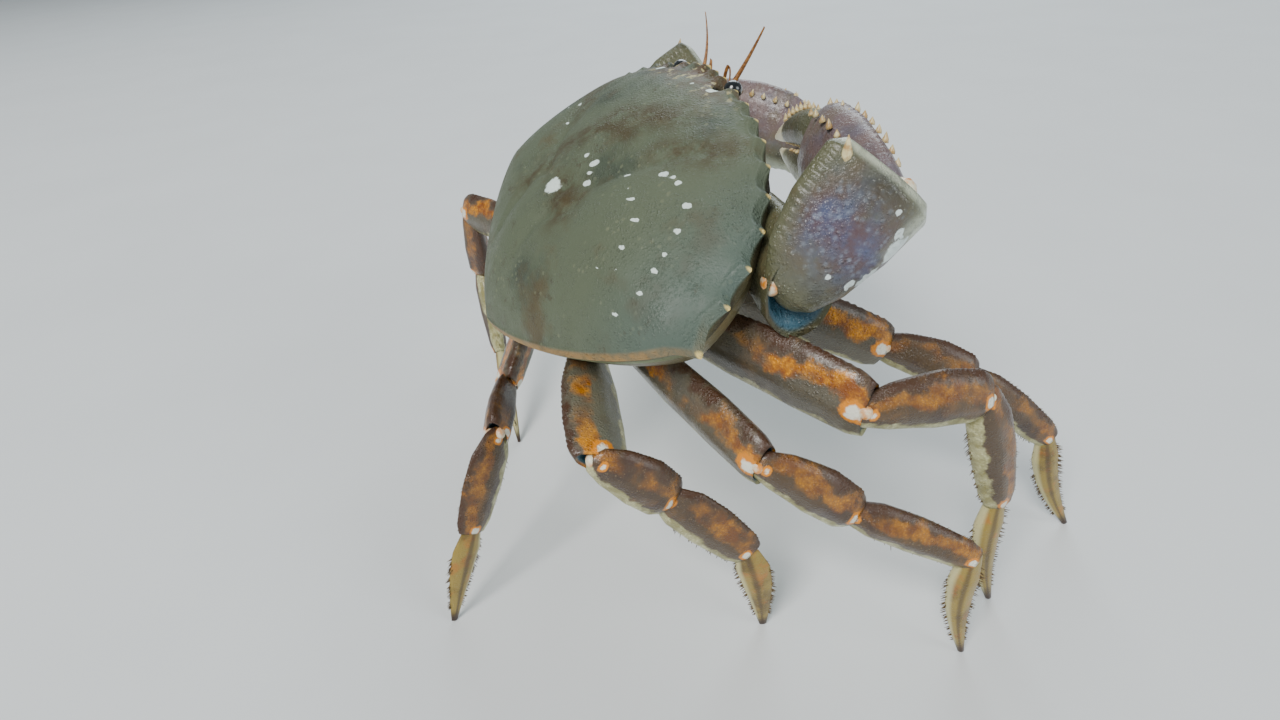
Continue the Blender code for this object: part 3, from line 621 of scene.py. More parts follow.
def make_shell_material(finish, mottle, grain):
    """Carapace: olive grey clouds, brown arcs, tan rear rim, pale scars and tooth tips; a painted
    bluish sheen on the sides, painted shade on the wall below the margin and in the eye notches.
    """
    mat, graph, shader = new_material("carapace_shell", 0.42, 0.03)
    result = place_group(graph, mottle, Ground=tuple(finish.back_colour) + (1.0,),
                         Cloud=colour(56, 66, 54), Warm=colour(84, 68, 38),
                         Fleck=colour(128, 132, 104), Size=22.0, Cloud_Amount=0.95,
                         Warm_Amount=0.65, Fleck_Amount=0.40)
    # Painted sheen: a bluish sheen of light painted on both sides of the back.
    result = graph.mix(graph.mask("blue_sheen_side"), result, colour(80, 98, 94))
    arcs = graph.math("MULTIPLY", graph.mask("brown_arc"),
                      graph.band(graph.noise(150.0, 6.0, 0.70), 0.34, 0.62, 0.0, 0.85))
    result = graph.mix(arcs, result, colour(66, 54, 26))
    speck = graph.band(graph.noise(260.0, 5.0, 0.7), 0.56, 0.66, 0.0, 0.55)
    field = graph.band(graph.noise(38.0, 3.0), 0.46, 0.62)
    result = graph.mix(graph.math("MULTIPLY", speck, field), result, colour(66, 56, 34))
    front = graph.math("MULTIPLY", graph.mask("front"),
                       graph.band(graph.noise(200.0, 5.0), 0.3, 0.6))
    result = graph.mix(front, result, colour(82, 62, 40))
    light = graph.math("MULTIPLY", graph.mask("front"),
                       graph.band(graph.noise(330.0, 3.0), 0.58, 0.68))
    result = graph.mix(light, result, colour(176, 166, 118))
    rim = graph.math("MULTIPLY", graph.mask("rim"), graph.band(graph.noise(300.0), 0.3, 0.6, 0.4, 0.9))
    result = graph.mix(rim, result, colour(166, 130, 80))
    # Painted shade: the wall under the margin is painted dark brown as its shadow, except at the rear,
    # where it keeps a pale olive.
    under = graph.band(graph.mask("under"), 0.0, 0.5)
    wall = graph.mix(graph.band(graph.noise(120.0, 4.0), 0.35, 0.65), colour(48, 42, 28),
                     colour(84, 80, 54))
    wall = graph.mix(graph.mask("rear"), wall, colour(132, 142, 104))
    result = graph.mix(under, result, wall)
    # Painted shade: the eye notches are painted near black as the shadow in their hollow.
    result = graph.mix(graph.mask("orbit"), result, colour(26, 26, 20))
    edge = graph.band(graph.noise(420.0, 3.0), 0.2, 0.8, -0.14, 0.14)
    scar = graph.band(graph.math("ADD", graph.mask("scar"), edge), 0.42, 0.56)
    result = graph.mix(scar, result, colour(222, 236, 228))
    tip = graph.band(graph.mask("tip"), 0.55, 0.80)
    result = graph.mix(tip, result, colour(226, 200, 122))
    graph.feed(shader.inputs["Base Color"], result)
    graph.feed(shader.inputs["Roughness"],
               graph.band(graph.noise(170.0), 0.3, 0.7, 0.50, 0.68))
    add_bump(graph, shader, place_group(graph, grain, Granules=1000.0, Granule_Height=0.9,
                                        Unevenness=0.7), 0.00030)
    return mat


def add_hollow_colour(graph, result):
    """Paint the wet blue skin in the hollow end of a piece over a colour."""
    return graph.mix(graph.band(graph.mask("hollow"), 0.2, 0.6), result, colour(44, 82, 98))


def add_hinge_colours(graph, result):
    """Paint the orange ring and white middle of a hinge over a colour."""
    wobble = graph.band(graph.noise(400.0, 3.0), 0.2, 0.8, -0.15, 0.15)
    hinge = graph.math("ADD", graph.mask("hinge"), wobble)
    result = graph.mix(graph.band(hinge, 0.30, 0.50), result, colour(218, 132, 4))
    return graph.mix(graph.band(hinge, 0.62, 0.80), result, colour(232, 230, 212))


def make_leg_material(finish, mottle, grain):
    """Walking legs: dark top, orange granular band, purple-brown face, pale lower edge."""
    mat, graph, shader = new_material("leg_shell", 0.38, 0.25)
    result = place_group(graph, mottle, Ground=tuple(finish.leg_colour) + (1.0,),
                         Cloud=colour(62, 46, 42), Warm=colour(122, 88, 48),
                         Fleck=colour(150, 132, 100), Size=55.0, Cloud_Amount=0.8,
                         Warm_Amount=0.5, Fleck_Amount=0.35)
    cloud = graph.band(graph.noise(70.0, 4.0), 0.25, 0.6, 0.5, 1.0)
    grey = graph.math("MULTIPLY", graph.mask("grey"), cloud)
    result = graph.mix(grey, result, colour(104, 106, 92))
    wobble = graph.band(graph.noise(120.0, 5.0, 0.6), 0.2, 0.8, -0.30, 0.30)
    height = graph.math("ADD", graph.mask("upper"), wobble)
    grains = graph.band(graph.cells(1300.0), 0.10, 0.60, 1.0, 0.0)
    clump = graph.band(graph.noise(210.0, 5.0, 0.65), 0.38, 0.64)
    grains = graph.math("ADD", graph.math("MULTIPLY", grains, 0.5), 0.5)
    grains = graph.math("MULTIPLY", grains, clump)
    orange = graph.mix(grains, colour(128, 70, 2), colour(240, 158, 0))
    band = graph.math("MULTIPLY", graph.band(height, 0.15, 0.42), graph.band(height, 0.95, 0.70))
    band = graph.math("MULTIPLY", band, graph.mask("warm"))
    patch = graph.band(graph.noise(48.0, 3.0), 0.40, 0.56)
    spread = graph.math("MAXIMUM", patch, graph.band(graph.mask("along"), 0.55, 0.95, 0.0, 0.8))
    result = graph.mix(graph.math("MULTIPLY", band, spread), result, orange)
    top = graph.band(height, 0.78, 1.05)
    result = graph.mix(top, result, colour(74, 50, 34))
    low = graph.band(graph.math("SUBTRACT", height, graph.mask("hem")), -0.86, -0.66, 1.0, 0.0)
    pale = graph.mix(grains, colour(138, 132, 84), colour(214, 212, 164))
    result = graph.mix(low, result, pale)
    result = add_hollow_colour(graph, add_hinge_colours(graph, result))
    graph.feed(shader.inputs["Base Color"], result)
    graph.feed(shader.inputs["Roughness"],
               graph.band(graph.noise(200.0), 0.3, 0.7, 0.28, 0.46))
    add_bump(graph, shader, place_group(graph, grain, Granules=1100.0, Granule_Height=0.8,
                                        Unevenness=0.6), 0.00030)
    return mat


def make_tip_material(mottle, grain):
    """Dactyls: yellow-green with brown grooves and a horn-brown point."""
    mat, graph, shader = new_material("leg_tip_shell", 0.38, 0.2)
    result = place_group(graph, mottle, Ground=colour(150, 128, 60), Cloud=colour(84, 66, 34),
                         Warm=colour(176, 104, 36), Fleck=colour(206, 192, 130), Size=90.0,
                         Cloud_Amount=0.8, Warm_Amount=0.6, Fleck_Amount=0.3)
    stripe = graph.band(graph.math("ABSOLUTE", graph.mask("upper")), 0.05, 0.35, 0.7, 0.0)
    result = graph.mix(stripe, result, colour(70, 54, 32))
    low = graph.band(graph.mask("upper"), -0.90, -0.55, 0.8, 0.0)
    result = graph.mix(low, result, colour(206, 200, 148))
    point = graph.band(graph.mask("along"), 0.84, 0.97)
    result = graph.mix(point, result, colour(56, 36, 20))
    graph.feed(shader.inputs["Base Color"], result)
    add_bump(graph, shader, place_group(graph, grain, Granules=1400.0, Granule_Height=0.4,
                                        Unevenness=0.8), 0.0003)
    return mat


def make_claw_material(finish, mottle, grain):
    """Claw arms: grey olive with a lumpy purple patch whose pale lump tops are partly painted
    highlight, pale scars and cream outer rim.
    """
    mat, graph, shader = new_material("claw_shell", 0.38, 0.25)
    result = place_group(graph, mottle, Ground=tuple(finish.claw_colour) + (1.0,),
                         Cloud=colour(60, 58, 42), Warm=colour(96, 70, 46),
                         Fleck=colour(160, 166, 146), Size=50.0, Cloud_Amount=0.8,
                         Warm_Amount=0.35, Fleck_Amount=0.4)
    # The lump centres of the purple patch are pale: partly the patch's own pale net pattern, partly
    # painted highlight on the lumps.
    lump_and_highlight = graph.math("MULTIPLY", graph.band(graph.cells(640.0), 0.10, 0.62, 1.0, 0.0),
                      graph.band(graph.noise(260.0, 4.0), 0.38, 0.62))
    shade = graph.mix(graph.band(graph.noise(150.0, 4.0), 0.35, 0.62), colour(80, 86, 114),
                      colour(88, 68, 74))
    purple = graph.mix(graph.math("MULTIPLY", lump_and_highlight, 0.6), shade, colour(138, 148, 168))
    patch = graph.math("MULTIPLY", graph.mask("purple"),
                       graph.band(graph.noise(85.0, 4.0), 0.28, 0.50))
    result = graph.mix(patch, result, purple)
    pink = graph.math("MULTIPLY", graph.mask("pink"),
                      graph.band(graph.noise(120.0, 4.0), 0.30, 0.60, 0.35, 0.75))
    result = graph.mix(pink, result, colour(124, 102, 100))
    rim = graph.math("MULTIPLY", graph.mask("pale_edge"),
                     graph.band(graph.noise(160.0, 4.0), 0.25, 0.55))
    result = graph.mix(rim, result, colour(192, 198, 176))
    edge = graph.band(graph.noise(420.0, 3.0), 0.2, 0.8, -0.14, 0.14)
    scar = graph.band(graph.math("ADD", graph.mask("scar"), edge), 0.42, 0.58)
    result = graph.mix(scar, result, colour(216, 228, 226))
    tip = graph.band(graph.mask("tip"), 0.35, 0.8)
    result = graph.mix(tip, result, colour(240, 230, 196))
    result = add_hollow_colour(graph, result)
    graph.feed(shader.inputs["Base Color"], result)
    graph.feed(shader.inputs["Roughness"],
               graph.band(graph.noise(180.0), 0.3, 0.7, 0.28, 0.46))
    add_bump(graph, shader, place_group(graph, grain, Granules=900.0, Granule_Height=0.8,
                                        Unevenness=0.7), 0.00035)
    return mat


def make_belly_material(mottle, grain):
    """Underside: cream with yellow and rusty clouds, painted dark along its top as shade under the
    shell.
    """
    mat, graph, shader = new_material("belly_shell", 0.42, 0.15)
    result = place_group(graph, mottle, Ground=colour(206, 198, 160), Cloud=colour(150, 150, 112),
                         Warm=colour(196, 140, 84), Fleck=colour(236, 230, 206), Size=45.0,
                         Cloud_Amount=0.6, Warm_Amount=0.3, Fleck_Amount=0.4)
    # Painted shade: the top of the underside, under the shell's margin, is painted dark olive as
    # shadow.
    result = graph.mix(graph.mask("high"), result, colour(86, 78, 50))
    seam = graph.band(graph.mask("seam"), 0.2, 0.9)
    result = graph.mix(seam, result, colour(116, 92, 60))
    graph.feed(shader.inputs["Base Color"], result)
    add_bump(graph, shader, place_group(graph, grain, Granules=700.0, Granule_Height=0.5,
                                        Unevenness=1.0), 0.0003)
    return mat


def make_skin_material(name, dark, pale, wet):
    """Soft joint skin: fine wrinkles across a wet dark ground."""
    mat, graph, shader = new_material(name, wet, 0.5)
    cloud = graph.band(graph.noise(150.0, 3.0), 0.3, 0.7)
    graph.feed(shader.inputs["Base Color"], graph.mix(cloud, dark, pale))
    add_bump(graph, shader, graph.noise(700.0, 4.0, 0.6, (1.0, 1.0, 2.2)), 0.0002)
    return mat


def make_eye_material():
    """Eye: a dark glossy lens on a mottled olive stalk with a pale ring."""
    mat, graph, shader = new_material("dark_eye", 0.10, 0.9)
    cloud = graph.band(graph.noise(900.0, 4.0), 0.35, 0.65)
    stalk = graph.mix(cloud, colour(70, 58, 34), colour(156, 140, 96))
    lens = graph.mix(cloud, colour(6, 9, 12), colour(20, 26, 30))
    ring = graph.band(graph.mask("lens"), 0.15, 0.35)
    result = graph.mix(ring, stalk, colour(206, 202, 176))
    dark = graph.band(graph.mask("lens"), 0.50, 0.62)
    graph.feed(shader.inputs["Base Color"], graph.mix(dark, result, lens))
    graph.feed(shader.inputs["Roughness"], graph.band(graph.mask("lens"), 0.50, 0.62, 0.5, 0.10))
    add_bump(graph, shader, graph.noise(2400.0, 2.0), 0.00004)
    return mat


def make_plain_material(name, ground, second, scale, roughness, coat=0.0, depth=0.0001):
    """A small hard piece: two close colours in clouds with a fine unevenness."""
    mat, graph, shader = new_material(name, roughness, coat)
    cloud = graph.band(graph.noise(scale, 4.0), 0.35, 0.65)
    graph.feed(shader.inputs["Base Color"], graph.mix(cloud, ground, second))
    add_bump(graph, shader, graph.noise(scale * 3.0, 3.0), depth)
    return mat


MATERIALS = {}


def material(name):
    """Return one finish of the crab."""
    if not MATERIALS:
        raise RuntimeError("the finishes come first")
    return MATERIALS[name]


# Scars of the back: side, forward (carapace widths), size (mm), stretch.
SCARS = ((0.028, -0.039, 3.6, 0.9), (0.049, 0.043, 1.3, 0.9), (0.085, 0.041, 2.0, 0.7),
         (0.093, 0.024, 1.2, 0.6), (0.100, 0.007, 1.5, 0.9), (0.183, 0.063, 1.3, 0.6),
         (0.215, 0.045, 0.9, 0.9), (0.244, 0.038, 1.2, 0.6), (0.286, 0.019, 1.5, 0.5),
         (0.308, -0.024, 1.1, 0.7), (0.332, -0.055, 0.7, 1.0), (0.245, 0.102, 1.4, 0.8),
         (0.263, 0.107, 0.9, 0.9), (0.280, 0.107, 1.1, 0.9), (0.327, 0.089, 1.4, 0.8),
         (0.353, 0.051, 1.1, 0.9), (0.369, 0.014, 0.8, 1.0), (0.379, -0.013, 1.0, 0.8),
         (0.388, -0.051, 1.1, 0.8), (0.367, -0.101, 1.0, 0.6), (0.296, -0.072, 0.6, 1.0),
         (0.112, 0.270, 1.7, 0.8), (-0.112, 0.270, 2.2, 0.8), (0.060, 0.262, 0.8, 0.7))

# Brown arcs of the back, as points (side, forward) in carapace widths.
BROWN_ARCS = (((-0.09, -0.066), (-0.093, -0.025), (-0.053, 0.039), (0.01, 0.092), (0.088, 0.128)),
              ((0.022, 0.133), (0.08, 0.165), (0.139, 0.183)),
              ((0.20, 0.130), (0.235, 0.160), (0.267, 0.178)),
              ((0.05, -0.03), (0.104, -0.038), (0.12, -0.06)),
              ((-0.16, 0.10), (-0.20, 0.14), (-0.25, 0.17)))


def line_distance(x, y, line):
    """Return each point's distance from a broken line, in carapace widths."""
    best = np.full(x.shape, 9.0)
    for (ax, ay), (bx, by) in zip(line, line[1:]):
        run = (bx - ax) ** 2 + (by - ay) ** 2
        share = np.clip(((x - ax) * (bx - ax) + (y - ay) * (by - ay)) / run, 0.0, 1.0)
        best = np.minimum(best, np.hypot(x - ax - share * (bx - ax), y - ay - share * (by - ay)))
    return best


def swelling(x, y, side, forward, wide, long):
    """Return a round swelling on both sides of the middle."""
    return np.exp(-(((np.abs(x) - side) / wide) ** 2 + ((y - forward) / long) ** 2))


def back_relief(x, y):
    """Return the regions and grooves of the back, in carapace widths."""
    rise = np.zeros_like(x)
    for height, *place in SWELLINGS:
        rise += height * swelling(x, y, *place)
    for line, deep, wide in GROOVES:
        rise -= deep * np.exp(-(line_distance(np.abs(x), y, line) / wide) ** 2)
    return rise


def tooth_plan():
    """Return angle, half width, reach and lean of every tooth of one side."""
    plan = []
    for number in range(10):
        last = number == 9
        reach = SIDE_SPINE_REACH if last else TOOTH_REACH * (0.80 + 0.04 * number)
        plan.append((FIRST_TOOTH_ANGLE - TOOTH_ANGLE_STEP * number,
                     SIDE_SPINE_HALF_WIDTH if last else TOOTH_HALF_WIDTH, reach,
                     SIDE_SPINE_LEAN if last else TOOTH_LEAN))
    for x, reach in FRONT_TEETH:
        angle = math.degrees(math.atan2(FRONT_DEPTH, x))
        plan.append((angle, FRONT_TOOTH_HALF_WIDTH, reach, 0.0))
    return plan


def build_carapace(finish):
    """Shape the back: dome, regions, teeth, orbits, rim and the wall below it."""
    bpy.ops.object.select_all(action="DESELECT")
    bpy.ops.mesh.primitive_uv_sphere_add(segments=720, ring_count=124, radius=1.0)
    shell = bpy.context.active_object
    shell.name = "carapace_skin"
    bpy.ops.object.mode_set(mode="EDIT")
    bpy.ops.mesh.select_all(action="SELECT")
    bpy.ops.mesh.bisect(plane_co=(0.0, 0.0, 0.0), plane_no=(0.0, 0.0, -1.0), clear_outer=True)
    pick(shell, "EDGE", lambda edge: edge.is_boundary)
    for _ in range(6):
        bpy.ops.mesh.extrude_region_move(TRANSFORM_OT_translate={"value": (0.0, 0.0, -0.1)})
    bpy.ops.mesh.edge_face_add()
    bpy.ops.object.mode_set(mode="OBJECT")
    unit = points_of(shell)
    down = np.clip(-unit[:, 2] / 0.6, 0.0, 1.0)
    reach = np.minimum(np.hypot(unit[:, 0], unit[:, 1]), 1.0)
    angle = np.arctan2(unit[:, 1], unit[:, 0])
    radius = outline_radius(angle) * reach * (1.0 - (1.0 - RIM_INSET) * down ** 1.3)
    x = radius * np.cos(angle)
    y = CENTRE_Y * SHELL_WIDTH + radius * np.sin(angle)
    lift = front_lift(angle, reach)
    top = np.where(reach < 0.9995, dome_height(angle, reach), 0.0)
    top = top + back_relief(x / SHELL_WIDTH, y / SHELL_WIDTH) * SHELL_WIDTH * (1.0 - reach ** 6)
    bead = finish.rim_height * np.exp(-((reach - 0.984) / 0.007) ** 2)
    z = np.where(down > 0.0, lift * (1.0 - down) - down * RIM_DROP * SHELL_WIDTH,
                 top + lift + bead)
    tip = np.zeros_like(x)
    hold = np.where(down > 0.0, (1.0 - down) ** 3, smooth_step(reach, 0.93, 1.0) ** 1.5)
    degrees = np.degrees(angle)
    for centre, half, size, lean in tooth_plan():
        for side in ((1.0, -1.0) if centre < 89.9 else (1.0,)):
            local = degrees if side > 0.0 else np.where(degrees < -90.0, -180.0 - degrees,
                                                         180.0 - degrees)
            share = np.clip(1.0 - np.abs(local - centre) / half, 0.0, 1.0)
            weight = share ** 1.5 * hold
            way = math.radians(centre + lean)
            x += side * math.cos(way) * size * SHELL_WIDTH * weight
            y += math.sin(way) * size * SHELL_WIDTH * weight
            tip = np.maximum(tip, share ** 3.0 * hold ** 4)
    eye_angle = math.degrees(math.atan2(EYE_PLACE[1] - CENTRE_Y, EYE_PLACE[0]))
    near = np.minimum(np.abs(degrees - eye_angle), np.abs(180.0 - degrees - eye_angle))
    notch = np.exp(-(near / ORBIT_HALF_WIDTH) ** 2) * np.where(down > 0.0, 1.0 - 0.6 * down, hold)
    # Mask of the eye notches, which the shell's finish paints near black as shade.
    set_mask(shell, "orbit", smooth_step(notch, 0.15, 0.50))
    x -= np.cos(angle) * ORBIT_DEPTH * SHELL_WIDTH * notch
    y -= np.sin(angle) * ORBIT_DEPTH * SHELL_WIDTH * notch
    set_points(shell, np.stack((x, y, z), axis=1))
    u, v = x / SHELL_WIDTH, y / SHELL_WIDTH
    scar = np.zeros_like(x)
    rng = random.Random(3)
    left = [(-side - rng.uniform(-0.02, 0.02), forward + rng.uniform(-0.02, 0.02), size * 0.8, stretch)
            for side, forward, size, stretch in SCARS[5:21:2]]
    for side, forward, size, stretch in list(SCARS) + left:
        wide = size * MM / SHELL_WIDTH * 0.85
        across, ahead = u - side, v - forward
        away = np.hypot(across * 0.8 + ahead * 0.6, (ahead * 0.8 - across * 0.6) / stretch)
        scar = np.maximum(scar, np.exp(-(away / wide) ** 2 * 0.7))
    arcs = np.zeros_like(x)
    for line in BROWN_ARCS:
        arcs = np.maximum(arcs, np.exp(-(line_distance(u, v, line) / 0.036) ** 2))
    set_mask(shell, "scar", scar * (down <= 0.0))
    set_mask(shell, "brown_arc", arcs * (down <= 0.0))
    rear = smooth_step(-np.sin(angle), -0.15, 0.25)
    set_mask(shell, "rear", rear)
    set_mask(shell, "rim", smooth_step(reach, 0.982, 0.992) * np.where(down > 0.0, 0.0, rear))
    set_mask(shell, "front", smooth_step(v, 0.215, 0.285) * smooth_step(-np.abs(u), -0.22, -0.10))
    # Painted bluish sheen on both sides of the back, for the shell's finish.
    set_mask(shell, "blue_sheen_side", 0.6 * smooth_step(np.abs(u), 0.28, 0.46) * (down <= 0.0))
    set_mask(shell, "tip", tip)
    # The wall below the margin, which the shell's finish paints dark as shade except at the rear.
    set_mask(shell, "under", smooth_step(down, 0.1, 0.5))
    to_place(shell, BODY)
    return finish_piece(shell, material("shell"), "carapace")


def build_underbody():
    """Shape the bowl under the shell with the limb roots grown into it."""
    top = -RIM_DROP * SHELL_WIDTH - 0.0003
    bpy.ops.object.select_all(action="DESELECT")
    bpy.ops.mesh.primitive_uv_sphere_add(segments=160, ring_count=60, radius=1.0)
    bowl = bpy.context.active_object
    bpy.ops.object.mode_set(mode="EDIT")
    bpy.ops.mesh.select_all(action="SELECT")
    bpy.ops.mesh.bisect(plane_co=(0.0, 0.0, 0.0), plane_no=(0.0, 0.0, 1.0),
                        clear_outer=True, use_fill=True)
    bpy.ops.object.mode_set(mode="OBJECT")
    unit = points_of(bowl)
    reach = np.hypot(unit[:, 0], unit[:, 1])
    angle = np.arctan2(unit[:, 1], unit[:, 0])
    radius = outline_radius(angle) * BOWL_SPREAD * np.minimum(reach, 1.0) ** 0.8
    set_points(bowl, np.stack((radius * np.cos(angle),
                               CENTRE_Y * SHELL_WIDTH + radius * np.sin(angle),
                               top + unit[:, 2] * BOWL_DEPTH * SHELL_WIDTH), axis=1))
    to_place(bowl, BODY)
    parts = [bowl]
    for side, word in ((1.0, "right"), (-1.0, "left")):
        for kind, root in COXA.items():
            joints, _, _ = limb_chain(f"{word}_{kind}", kind, side)
            inner = BODY @ (Vector((side * root[0] * 0.45, root[1] * 0.8,
                                    root[2] * 0.9 + 2.0)) * MM)
            way = joints[0] - inner
            depth = DEPTHS[kind][0] * MM
            coxa = add_tube("coxa", 32, 16)
            shape_tube(coxa, "coxa", way.length + 0.003, depth * 0.92, depth * 0.78, under=0.0,
                       relief=lambda s, t: -0.10 * np.exp(-((s - 0.62) / 0.03) ** 2), cap=0.2)
            to_place(coxa, line_matrix(inner, way.normalized(), BODY.to_3x3() @ UP))
            parts.append(coxa)
    body = join("underbody_skin", parts)
    modify(body, "REMESH", mode="VOXEL", voxel_size=BODY_VOXEL)
    modify(body, "SMOOTH", factor=0.5, iterations=3)
    turned = np.array(BODY.to_3x3())
    local = points_of(body) @ turned - np.array(BODY_AT) @ turned
    x, y, z = (local / SHELL_WIDTH).T
    seam = np.zeros_like(x)
    for line in BELLY_SEAMS:
        away = line_distance(np.abs(x), y, line) / SEAM_HALF_WIDTH
        seam = np.maximum(seam, np.exp(-away ** 2))
    seam = seam * (z < -RIM_DROP - 0.03)
    normal = normals_of(body)
    set_points(body, points_of(body) - normal * (seam * SEAM_DEPTH)[:, None])
    set_mask(body, "seam", seam)
    # Top of the underside, which the belly's finish paints dark as shade under the margin.
    set_mask(body, "high", 0.9 * smooth_step(z, -0.11, -0.07))
    return finish_piece(body, material("belly"), "underbody")


def build_flap_and_mouth():
    """Shape the folded abdomen and the two outer mouth plates."""
    low = -(RIM_DROP + BOWL_DEPTH) * SHELL_WIDTH
    start = BODY @ Vector((0.0, -0.225 * SHELL_WIDTH, low * 0.80))
    end = BODY @ Vector((0.0, 0.035 * SHELL_WIDTH, low - 0.0004))
    way = end - start
    up = BODY.to_3x3() @ UP

    def rings(station, _):
        """Cut the rings of the flap."""
        cuts = np.abs((station * FLAP_RINGS) % 1.0 - 0.5)
        return -0.10 * smooth_step(cuts, 0.42, 0.5)

    flap = add_tube("abdomen_skin", 48, 90)
    station, _ = shape_tube(flap, "flap", way.length, *FLAP_SIZE, -0.10, 0.0, 0.0, rings)
    cuts = np.abs((station * FLAP_RINGS) % 1.0 - 0.5)
    set_mask(flap, "seam", smooth_step(cuts, 0.40, 0.5))
    to_place(flap, line_matrix(start, way.normalized(), up))
    finish_piece(flap, material("belly"), "abdomen")
    out = BODY.to_3x3() @ Vector((0.0, 0.55, -0.85))

    def split(station, turn):
        """Cut the line across a mouth plate."""
        return -0.16 * np.exp(-((station - MOUTH_LINE) / 0.02) ** 2) - 0.05 * np.cos(turn * 2.0)

    for side, word in ((1.0, "right"), (-1.0, "left")):
        mirror = Vector((side, 1.0, 1.0)) * SHELL_WIDTH
        start = BODY @ (Vector(MOUTH_START) * mirror)
        end = BODY @ (Vector(MOUTH_END) * mirror)
        way = end - start
        plate = add_tube(f"{word}_mouth_plate_skin", 36, 60)
        station, _ = shape_tube(plate, "mouth", way.length, *MOUTH_SIZE, 0.06, 0.0, 0.0, split)
        set_mask(plate, "seam", np.exp(-((station - MOUTH_LINE) / 0.02) ** 2))
        to_place(plate, line_matrix(start, way.normalized(), out))
        finish_piece(plate, material("belly"), f"{word}_mouth_plate")


def leg_relief(station, turn):
    """Ridges along a leg piece: a beaded upper edge, side keels and a lower edge."""
    top = np.exp(-((turn - math.pi / 2.0) / 0.22) ** 2)
    low = np.exp(-((turn + math.pi / 2.0) / 0.25) ** 2)
    beads = 0.55 + 0.45 * np.sin(station * 150.0)
    faces = 0.030 * np.cos(6.0 * turn)
    return 0.055 * top * beads + 0.035 * low + faces


def tip_relief(station, turn):
    """Groove along both faces of a leg's pointed last piece."""
    return -0.10 * np.exp(-(np.sin(turn) / 0.20) ** 2) * smooth_step(station, 0.1, 0.3)


def claw_relief(station, turn):
    """Ridges along a claw piece, each broken into low beads."""
    ridge = np.clip(np.cos(turn * 7.0), 0.0, 1.0) ** 3
    return 0.038 * ridge * (0.55 + 0.45 * np.sin(station * 110.0)) * smooth_step(station, 0.05, 0.2)


def build_leg(name, kind, side):
    """Shape the four pieces of one walking leg."""
    joints, ways, lengths = limb_chain(name, kind, side)
    for number, (part, bow, keel, under) in enumerate(LEG_PIECES):
        up = piece_up(name, number, ways[number])
        tip = part == "dactyl"
        if tip and kind == "leg_4":
            bow = REAR_DACTYL_BOW
        piece = add_tube(f"{name}_{part}_skin", 40, 56)
        relief = tip_relief if tip else leg_relief
        shape_tube(piece, part, lengths[number], DEPTHS[kind][number] * MM,
                   WIDTHS[kind][number] * MM * 1.08, bow, keel, under, relief,
                   cup=None if tip else 1.1, edge=1.65)
        to_place(piece, line_matrix(joints[number], ways[number], up))
        if tip:
            points = points_of(piece)
            points[:, 2] = np.maximum(points[:, 2], 0.0)
            set_points(piece, points)
        count = len(piece.data.vertices)
        first = part == "merus"
        set_mask(piece, "grey", np.full(count, (0.9 if kind == "leg_4" else 0.45) * first))
        set_mask(piece, "warm", np.full(count, 1.0 if first else 0.5))
        set_mask(piece, "hem", np.full(count, 0.0 if first else 0.22))
        finish_piece(piece, material("leg_tip" if tip else "leg"), f"{name}_{part}")


def scatter(name, source, places):
    """Copy one small piece to many places as one mesh and remove the small piece."""
    points = points_of(source)
    faces = [tuple(face.vertices) for face in source.data.polygons]
    rows, sides = [], []
    for number, place in enumerate(places):
        table = np.array(place)
        rows.append(points @ table[:3, :3].T + table[:3, 3])
        sides += [tuple(index + number * len(points) for index in face) for face in faces]
    mesh = bpy.data.meshes.new(name)
    mesh.from_pydata(np.concatenate(rows).tolist(), [], sides)
    piece = bpy.data.objects.new(name, mesh)
    bpy.context.scene.collection.objects.link(piece)
    bpy.data.objects.remove(source)
    return piece


def small_cone(sides, rings=3):
    """Return a unit thorn along Z that bends a little at its point."""
    bpy.ops.object.select_all(action="DESELECT")
    bpy.ops.mesh.primitive_cone_add(vertices=sides, radius1=1.0, radius2=0.06, depth=1.0,
                                    location=(0.0, 0.0, 0.5))
    thorn = bpy.context.active_object
    bpy.ops.object.transform_apply(location=True, rotation=False, scale=False)
    bpy.ops.object.mode_set(mode="EDIT")
    pick(thorn, "EDGE", lambda edge: abs(edge.verts[0].co.z - edge.verts[1].co.z) > 0.5)
    bpy.ops.mesh.subdivide(number_cuts=rings - 1)
    bpy.ops.object.mode_set(mode="OBJECT")
    points = points_of(thorn)
    swell = 1.0 + 0.35 * np.sin(math.pi * points[:, 2])
    points[:, 0] *= swell
    points[:, 1] = points[:, 1] * swell + 0.5 * points[:, 2] ** 2
    set_points(thorn, points)
    return thorn


def small_knob():
    """Return a unit bead, flattened at its root."""
    bpy.ops.object.select_all(action="DESELECT")
    bpy.ops.mesh.primitive_uv_sphere_add(segments=12, ring_count=8, radius=1.0)
    knob = bpy.context.active_object
    bpy.ops.object.mode_set(mode="EDIT")
    pick(knob, "VERT", lambda vert: vert.co.z < -0.5)
    bpy.ops.transform.resize(value=(1.25, 1.25, 0.5))
    bpy.ops.object.mode_set(mode="OBJECT")
    return knob


def aim(place, way, wide, long):
    """Return the placement of a unit thorn or knob."""
    turn = Vector(way).to_track_quat("Z", "Y").to_matrix().to_4x4()
    return Matrix.Translation(place) @ turn @ Matrix.Diagonal((wide, wide, long, 1.0))


